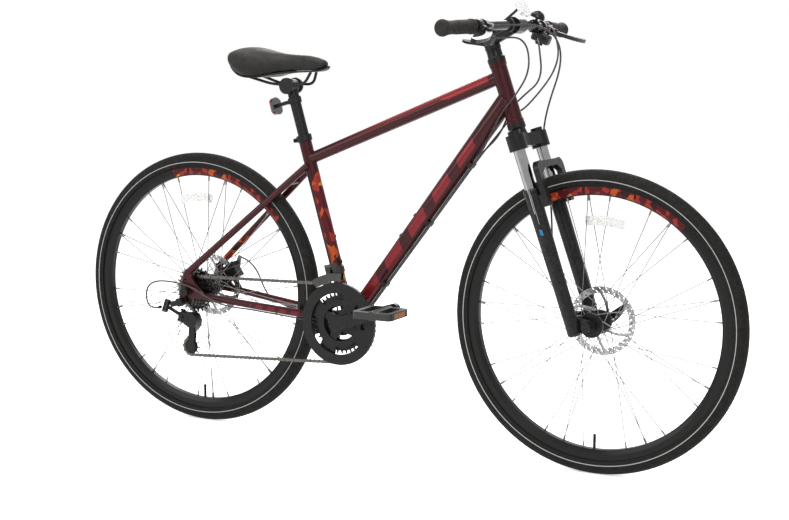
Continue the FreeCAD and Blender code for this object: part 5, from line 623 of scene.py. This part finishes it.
def longer(length):
    """A choice that gives the second material to loose parts over a length."""
    return lambda low, high: int(float((high - low).max()) > length)


def wider(width):
    """A choice that gives the second material to loose parts over a width across the bike."""
    return lambda low, high: int(high[1] - low[1] > width)


def on_bell(low, high):
    bell_start, bell_end = 0.08, 0.135
    return int(low[1] > bell_start and high[1] < bell_end)


def spoke_kind(low, high):
    """A spoke is long and slim, the reflector lies on the middle plane, and the protector is a thin disc."""
    disc_thickness, disc_least = 0.006, 0.1
    lens_least, lens_most, lens_thickness, lens_offset = 0.06, 0.13, 0.012, 0.002
    sizes = high - low
    thickness = float(sizes[1])
    short, long = sorted((float(sizes[0]), float(sizes[2])))
    if thickness < disc_thickness and short > disc_least:
        return 2
    central = abs(float(low[1] + high[1])) / 2 < lens_offset
    if lens_least < long < lens_most and thickness < lens_thickness and central:
        return 1
    return 0


BLACK = black_alloy("black_alloy")
GLOSS_BLACK = black_alloy("gloss_black", 0.2)
MOULDED = plastic("black_plastic", (0.0085, 0.0085, 0.009))
SILVER = metal("silver_alloy", 0.24, 0.28)
STEEL = metal("steel", 0.30, 0.28)
CHROME = metal("chrome", 0.30, 0.10)
DARK_STEEL = metal("chain_steel", (0.050, 0.046, 0.042), 0.34)
CHAIN_PLATE = metal("chain_plate", (0.095, 0.088, 0.080), 0.30)
CAGE_STEEL = metal("cage_steel", (0.055, 0.054, 0.053), 0.24)
SPOKE_STEEL = metal("spoke_steel", 0.16, 0.30)
WINE_PLAIN = wine_paint("wine_plain").done()
COVER = cover_look()
CABLE = plastic("cable_housing", (0.034, 0.034, 0.034), 0.34)
CLEAR = clear_plastic()
WHITE_LENS = front_lens_look()
RED_LENS = tail_lens_look()

# Each look that serves whole nodes
WHOLE = (
    (WINE_PLAIN, ("head_tube", "bottom_bracket_shell", "dropouts")),
    (GLOSS_BLACK, ("fork_crown", "stem", "right_crank", "left_crank", "handlebar", "brake_lever_right",
                   "brake_lever_left")),
    (BLACK, ("bearing_cups", "seat_clamp", "seatpost", "saddle_rails", "front_hub", "rear_hub", "front_axle",
             "rear_axle", "front_caliper", "rear_caliper", "rear_derailleur_mount", "rear_derailleur_link",
             "rear_derailleur_knuckle", "rear_derailleur_cage")),
    (MOULDED, ("saddle_base", "thumb_lever_right", "thumb_lever_left", "guide_pulley", "tension_pulley")),
    (SILVER, ("front_caliper_arm", "rear_caliper_arm")),
    (DARK_STEEL, ("front_derailleur_base",)),
    (CAGE_STEEL, ("front_derailleur_cage",)),
    (STEEL, ("crank_spindle",)),
    (CHROME, ("stanchions",)),
)

# Where a node has two looks, these lengths and widths tell its loose parts apart
FITTING_LENGTH = 0.1
RING_BOLT_LENGTH = 0.02
CHAIN_PIN_LENGTH = 0.016
REAR_LENS_WIDTH = 0.037
FRONT_LENS_WIDTH = 0.042

# The middle of each rim's patches, in degrees from ahead, and the arc that they cover
RIM_PATCHES = {"front": 82, "rear": 72}
RIM_PATCH_ARC = 66

RIGHT_PEDAL = (0.0585, -0.139, 0.3545)
LEFT_PEDAL = (-0.2649, 0.139, 0.2495)


def dress_all():
    for look, names in WHOLE:
        for name in names:
            dress(name, look)
    dress("top_tube", top_tube_look())
    dress("down_tube", down_tube_look(), MOULDED, choose=shorter(FITTING_LENGTH))
    dress("seat_tube", seat_tube_look())
    dress("rear_stays", stays_look())
    dress("fork_lowers", fork_look())
    dress("cassette", turned_metal("cassette_steel", (0.075, 0.072, 0.07), 0.32, REAR_AXLE))
    dress("bar_controls", controls_look(), GLOSS_BLACK, choose=on_bell)
    dress("grips", grip_look())
    for end, centre in (("front", FRONT_AXLE), ("rear", REAR_AXLE)):
        dress(end + "_tyre", tyre_look(end + "_tyre_rubber", centre))
        rim = rim_look(end + "_rim_black", centre, RIM_PATCHES[end], RIM_PATCH_ARC)
        dress(end + "_rim", rim, MOULDED, choose=shorter(FITTING_LENGTH))
        dress(end + "_rotor", turned_metal(end + "_rotor_steel", (0.30, 0.30, 0.30), 0.26, centre))
        dress(end + "_spokes", SPOKE_STEEL, WHITE_LENS, CLEAR, choose=spoke_kind)
    dress("chain", DARK_STEEL, CHAIN_PLATE, choose=longer(CHAIN_PIN_LENGTH))
    dress("chainrings", black_alloy("ring_black", 0.3), SILVER, choose=shorter(RING_BOLT_LENGTH))
    dress("right_pedal", pedal_look("right_pedal_black", RIGHT_PEDAL))
    dress("left_pedal", pedal_look("left_pedal_black", LEFT_PEDAL))
    dress("rear_reflector", MOULDED, RED_LENS, choose=wider(REAR_LENS_WIDTH))
    dress("front_reflector", MOULDED, WHITE_LENS, choose=wider(FRONT_LENS_WIDTH))


# Padded saddle

FOAM_SHARES = (0.985, 0.965, 0.97)
VOXEL = 0.0045
SWELL_CAP = 0.004
UNDERSIDE_CAP = 0.0005
UNDERSIDE_NORMAL = -0.35
CLOTH_FRAMES = 20


def saddle():
    """The cover over its foam, swelled by a cloth simulation from a slightly smaller copy of its solid."""
    mesh = nodes["saddle_cover"].data.copy()
    obj = bpy.data.objects.new("saddle_pad", mesh)
    scene.collection.objects.link(obj)
    build = bmesh.new()
    build.from_mesh(mesh)
    bmesh.ops.remove_doubles(build, verts=build.verts, dist=1 / WELD_STEPS_PER_METRE)
    centre = sum((v.co for v in build.verts), Vector()) / len(build.verts)
    for vertex in build.verts:
        vertex.co = centre + (vertex.co - centre) * Vector(FOAM_SHARES)
    build.to_mesh(mesh)
    build.free()
    mesh.materials.clear()
    mesh.materials.append(COVER)
    remesh = obj.modifiers.new("Remesh", "REMESH")
    remesh.mode = "VOXEL"
    remesh.voxel_size = VOXEL
    remesh.use_smooth_shade = True
    smooth = obj.modifiers.new("Smooth", "SMOOTH")
    smooth.factor, smooth.iterations = 0.5, 8
    apply_modifiers(obj)
    swell(obj)
    rounded = obj.modifiers.new("Round", "SUBSURF")
    rounded.levels = rounded.render_levels = 1
    apply_modifiers(obj)
    for polygon in obj.data.polygons:
        polygon.use_smooth = True
    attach(obj, "seat")
    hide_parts("saddle_cover")


def apply_modifiers(obj):
    """Makes a piece's modifiers part of its mesh."""
    shown = obj.evaluated_get(bpy.context.evaluated_depsgraph_get())
    made = bpy.data.meshes.new_from_object(shown)
    materials = list(obj.data.materials)
    obj.modifiers.clear()
    obj.data = made
    made.materials.clear()
    for material in materials:
        made.materials.append(material)


def swell(obj):
    """A short cloth simulation under pressure, with each point held within a cap and the underside up."""
    before = [v.co.copy() for v in obj.data.vertices]
    facing = [v.normal.copy() for v in obj.data.vertices]
    cloth = obj.modifiers.new("Cloth", "CLOTH")
    cloth.settings.use_pressure = True
    cloth.settings.uniform_pressure_force = 4
    cloth.settings.effector_weights.gravity = 0
    cloth.settings.tension_stiffness = 40
    cloth.settings.bending_stiffness = 8
    cloth.point_cache.frame_start, cloth.point_cache.frame_end = 1, CLOTH_FRAMES
    for number in range(1, CLOTH_FRAMES + 1):
        scene.frame_set(number)
    apply_modifiers(obj)
    scene.frame_set(1)
    for vertex, start, normal in zip(obj.data.vertices, before, facing):
        move = vertex.co - start
        if normal.z < UNDERSIDE_NORMAL:
            move.z = max(move.z, -UNDERSIDE_CAP)
        if move.length > SWELL_CAP:
            move *= SWELL_CAP / move.length
        vertex.co = start + move
    obj.data.update()


# Cables, with their routes in millimetres

CABLE_RADIUS = 0.0021
MILLIMETRES_PER_METRE = 1000
CABLES = {
    "rear_shift_cable": [
        (338.9, -130.7, 993.0), (340.6, -112.8, 993.5), (384.0, -57.0, 995.4), (386.7, -31.4, 921.2),
        (343.9, -28.5, 857.5), (313.4, -28.5, 824.5), (286.9, -23.7, 775.2), (254.1, -6.0, 730.2),
        (226.7, -6.0, 694.5), (-30.3, -6.0, 358.9), (-63.5, -6.0, 315.6), (-91.2, -9.0, 268.5),
        (-202.3, -32.6, 298.6), (-322.4, -47.9, 311.1), (-372.7, -54.3, 316.3), (-420.2, -72.4, 321.2),
        (-467.8, -83.2, 337.9), (-543.5, -81.5, 374.0), (-665.9, -81.5, 374.0), (-664.7, -84.0, 294.3),
        (-625.1, -84.0, 304.1)],
    "front_shift_cable": [
        (338.9, 130.7, 993.0), (340.6, 112.8, 993.5), (378.4, 34.2, 978.5), (390.3, 28.5, 899.8),
        (342.8, 28.5, 860.9), (311.1, 28.5, 831.2), (294.3, 9.2, 769.7), (254.1, 0.0, 730.2),
        (226.7, 0.0, 694.5), (-30.3, 0.0, 358.9), (-63.5, 0.0, 315.6), (-91.2, 0.0, 268.5),
        (-138.3, 0.0, 271.0), (-136.0, 0.0, 302.0), (-143.3, 0.0, 357.0), (-157.0, -10.2, 404.7),
        (-153.8, -22.1, 427.4)],
    "rear_brake_cable": [
        (350.5, 162.5, 1019.9), (352.2, 144.6, 1020.5), (399.8, 74.1, 1015.9), (424.2, 54.1, 934.0),
        (350.9, 41.3, 837.4), (315.7, 38.5, 817.8), (283.8, 33.0, 777.6), (254.1, 6.0, 730.2),
        (226.7, 6.0, 694.5), (-30.3, 6.0, 358.9), (-63.5, 6.0, 315.6), (-91.2, 9.0, 268.5),
        (-202.3, 32.6, 298.6), (-301.4, 45.2, 308.9), (-348.9, 63.6, 313.9), (-396.5, 74.5, 330.9),
        (-429.1, 69.3, 415.3), (-469.7, 69.3, 426.4)],
    "front_brake_cable_run": [
        (350.5, -162.5, 1019.9), (352.2, -144.6, 1020.5), (423.6, -28.5, 1024.1), (443.4, 34.2, 955.7),
        (371.5, 91.5, 818.2), (366.8, 91.5, 739.7), (391.3, 91.5, 616.5), (410.3, 55.3, 476.1),
        (440.9, 55.3, 371.7)],
}


def housing(name):
    """A smooth round housing along its route."""
    points = CABLES[name]
    curve = bpy.data.curves.new(name + "_route", "CURVE")
    curve.dimensions = "3D"
    spline = curve.splines.new("NURBS")
    spline.points.add(len(points) - 1)
    for point, place in zip(spline.points, points):
        point.co = (*(c / MILLIMETRES_PER_METRE for c in place), 1)
    spline.order_u = 3
    spline.use_endpoint_u = True
    spline.resolution_u = 10
    curve.bevel_depth = CABLE_RADIUS
    curve.bevel_resolution = 3
    curve.use_fill_caps = True
    drawn = bpy.data.objects.new(name + "_route", curve)
    scene.collection.objects.link(drawn)
    bpy.context.view_layer.update()
    mesh = bpy.data.meshes.new_from_object(drawn.evaluated_get(bpy.context.evaluated_depsgraph_get()))
    bpy.data.objects.remove(drawn)
    mesh.materials.clear()
    mesh.materials.append(CABLE)
    for polygon in mesh.polygons:
        polygon.use_smooth = True
    obj = bpy.data.objects.new(name, mesh)
    scene.collection.objects.link(obj)
    return obj


def cables():
    for name in ("rear_shift_cable", "front_shift_cable", "rear_brake_cable"):
        obj = housing(name)
        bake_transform(obj)
        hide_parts("frame_cables")
    obj = housing("front_brake_cable_run")
    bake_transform(obj)
    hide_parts("front_brake_cable")


# Studio

PHOTO_WIDTH = 789
FOCAL_PIXELS = 1521.97
SENSOR_WIDTH = 36
CAMERA_PLACE = (1.74456, -3.22119, 0.98686)
CAMERA_DOWN_DEGREES = 8.193
CAMERA_TURN_DEGREES = 28.14
WORLD_LIGHT = 0.55
FLOOR_GLOW = 0.50
FLOOR_RADIUS = 14
LAMP_TARGET = Vector((0, 0, 0.5))
# Each lamp's name, place, width, depth and power
LAMPS = (
    ("key", (1.6, -2.6, 2.9), 2.2, 1.6, 95),
    ("fill", (-2.2, -2.8, 1.7), 2.0, 1.6, 45),
    ("top", (-0.1, -0.2, 3.2), 3.2, 1.4, 75),
    ("back", (-0.8, 2.8, 2.4), 2.4, 1.2, 55),
)


def shown_rays(tree):
    """1 for a ray from the camera, a reflection or clear plastic, and 0 for one that lights a surface."""
    path = tree.nodes.new("ShaderNodeLightPath")
    share = path.outputs["Is Camera Ray"]
    for name in ("Is Glossy Ray", "Is Transmission Ray"):
        larger = tree.nodes.new("ShaderNodeMath")
        larger.operation = "MAXIMUM"
        tree.links.new(share, larger.inputs[0])
        tree.links.new(path.outputs[name], larger.inputs[1])
        share = larger.outputs[0]
    return share


def camera():
    data = bpy.data.cameras.new("Camera")
    data.sensor_fit = "HORIZONTAL"
    data.sensor_width = SENSOR_WIDTH
    data.lens = SENSOR_WIDTH * FOCAL_PIXELS / PHOTO_WIDTH
    data.clip_start, data.clip_end = 0.05, 80
    eye = bpy.data.objects.new("Camera", data)
    eye.location = CAMERA_PLACE
    eye.rotation_euler = (math.radians(90 - CAMERA_DOWN_DEGREES), 0, math.radians(CAMERA_TURN_DEGREES))
    scene.collection.objects.link(eye)
    scene.camera = eye


def world():
    """Soft even light, with a white background for the camera and for reflections."""
    made = bpy.data.worlds.new("Studio")
    scene.world = made
    made.use_nodes = True
    tree = made.node_tree
    light = tree.nodes["Background"]
    seen = tree.nodes.new("ShaderNodeBackground")
    for background, strength in ((light, WORLD_LIGHT), (seen, 1.0)):
        background.inputs["Color"].default_value = (1, 1, 1, 1)
        background.inputs["Strength"].default_value = strength
    pick = tree.nodes.new("ShaderNodeMixShader")
    tree.links.new(shown_rays(tree), pick.inputs[0])
    tree.links.new(light.outputs[0], pick.inputs[1])
    tree.links.new(seen.outputs[0], pick.inputs[2])
    tree.links.new(pick.outputs[0], tree.nodes["World Output"].inputs["Surface"])


def lamps():
    for name, place, width, depth, power in LAMPS:
        data = bpy.data.lights.new(name, "AREA")
        data.shape = "RECTANGLE"
        data.size, data.size_y = width, depth
        data.energy = power
        lamp = bpy.data.objects.new(name, data)
        lamp.location = place
        lamp.rotation_euler = (LAMP_TARGET - Vector(place)).to_track_quat("-Z", "Y").to_euler()
        scene.collection.objects.link(lamp)


def ground():
    """A plain pale disc, which looks white to the camera and keeps the soft shadow."""
    mesh = bpy.data.meshes.new("floor")
    build = bmesh.new()
    bmesh.ops.create_circle(build, cap_ends=True, segments=64, radius=FLOOR_RADIUS)
    build.to_mesh(mesh)
    build.free()
    pale = Look("floor_pale", (0.93, 0.93, 0.93), roughness=0.9, emission_color=(1, 1, 1, 1))
    pale.set(emission_strength=pale.math("MULTIPLY", shown_rays(pale.tree), FLOOR_GLOW))
    pale.mottle(0.6, (0.92, 0.92, 0.92))
    mesh.materials.append(pale.done())
    floor = bpy.data.objects.new("floor", mesh)
    scene.collection.objects.link(floor)


scene.view_settings.view_transform = "Standard"
camera()
world()
lamps()
ground()
cables()
dress_all()
saddle()
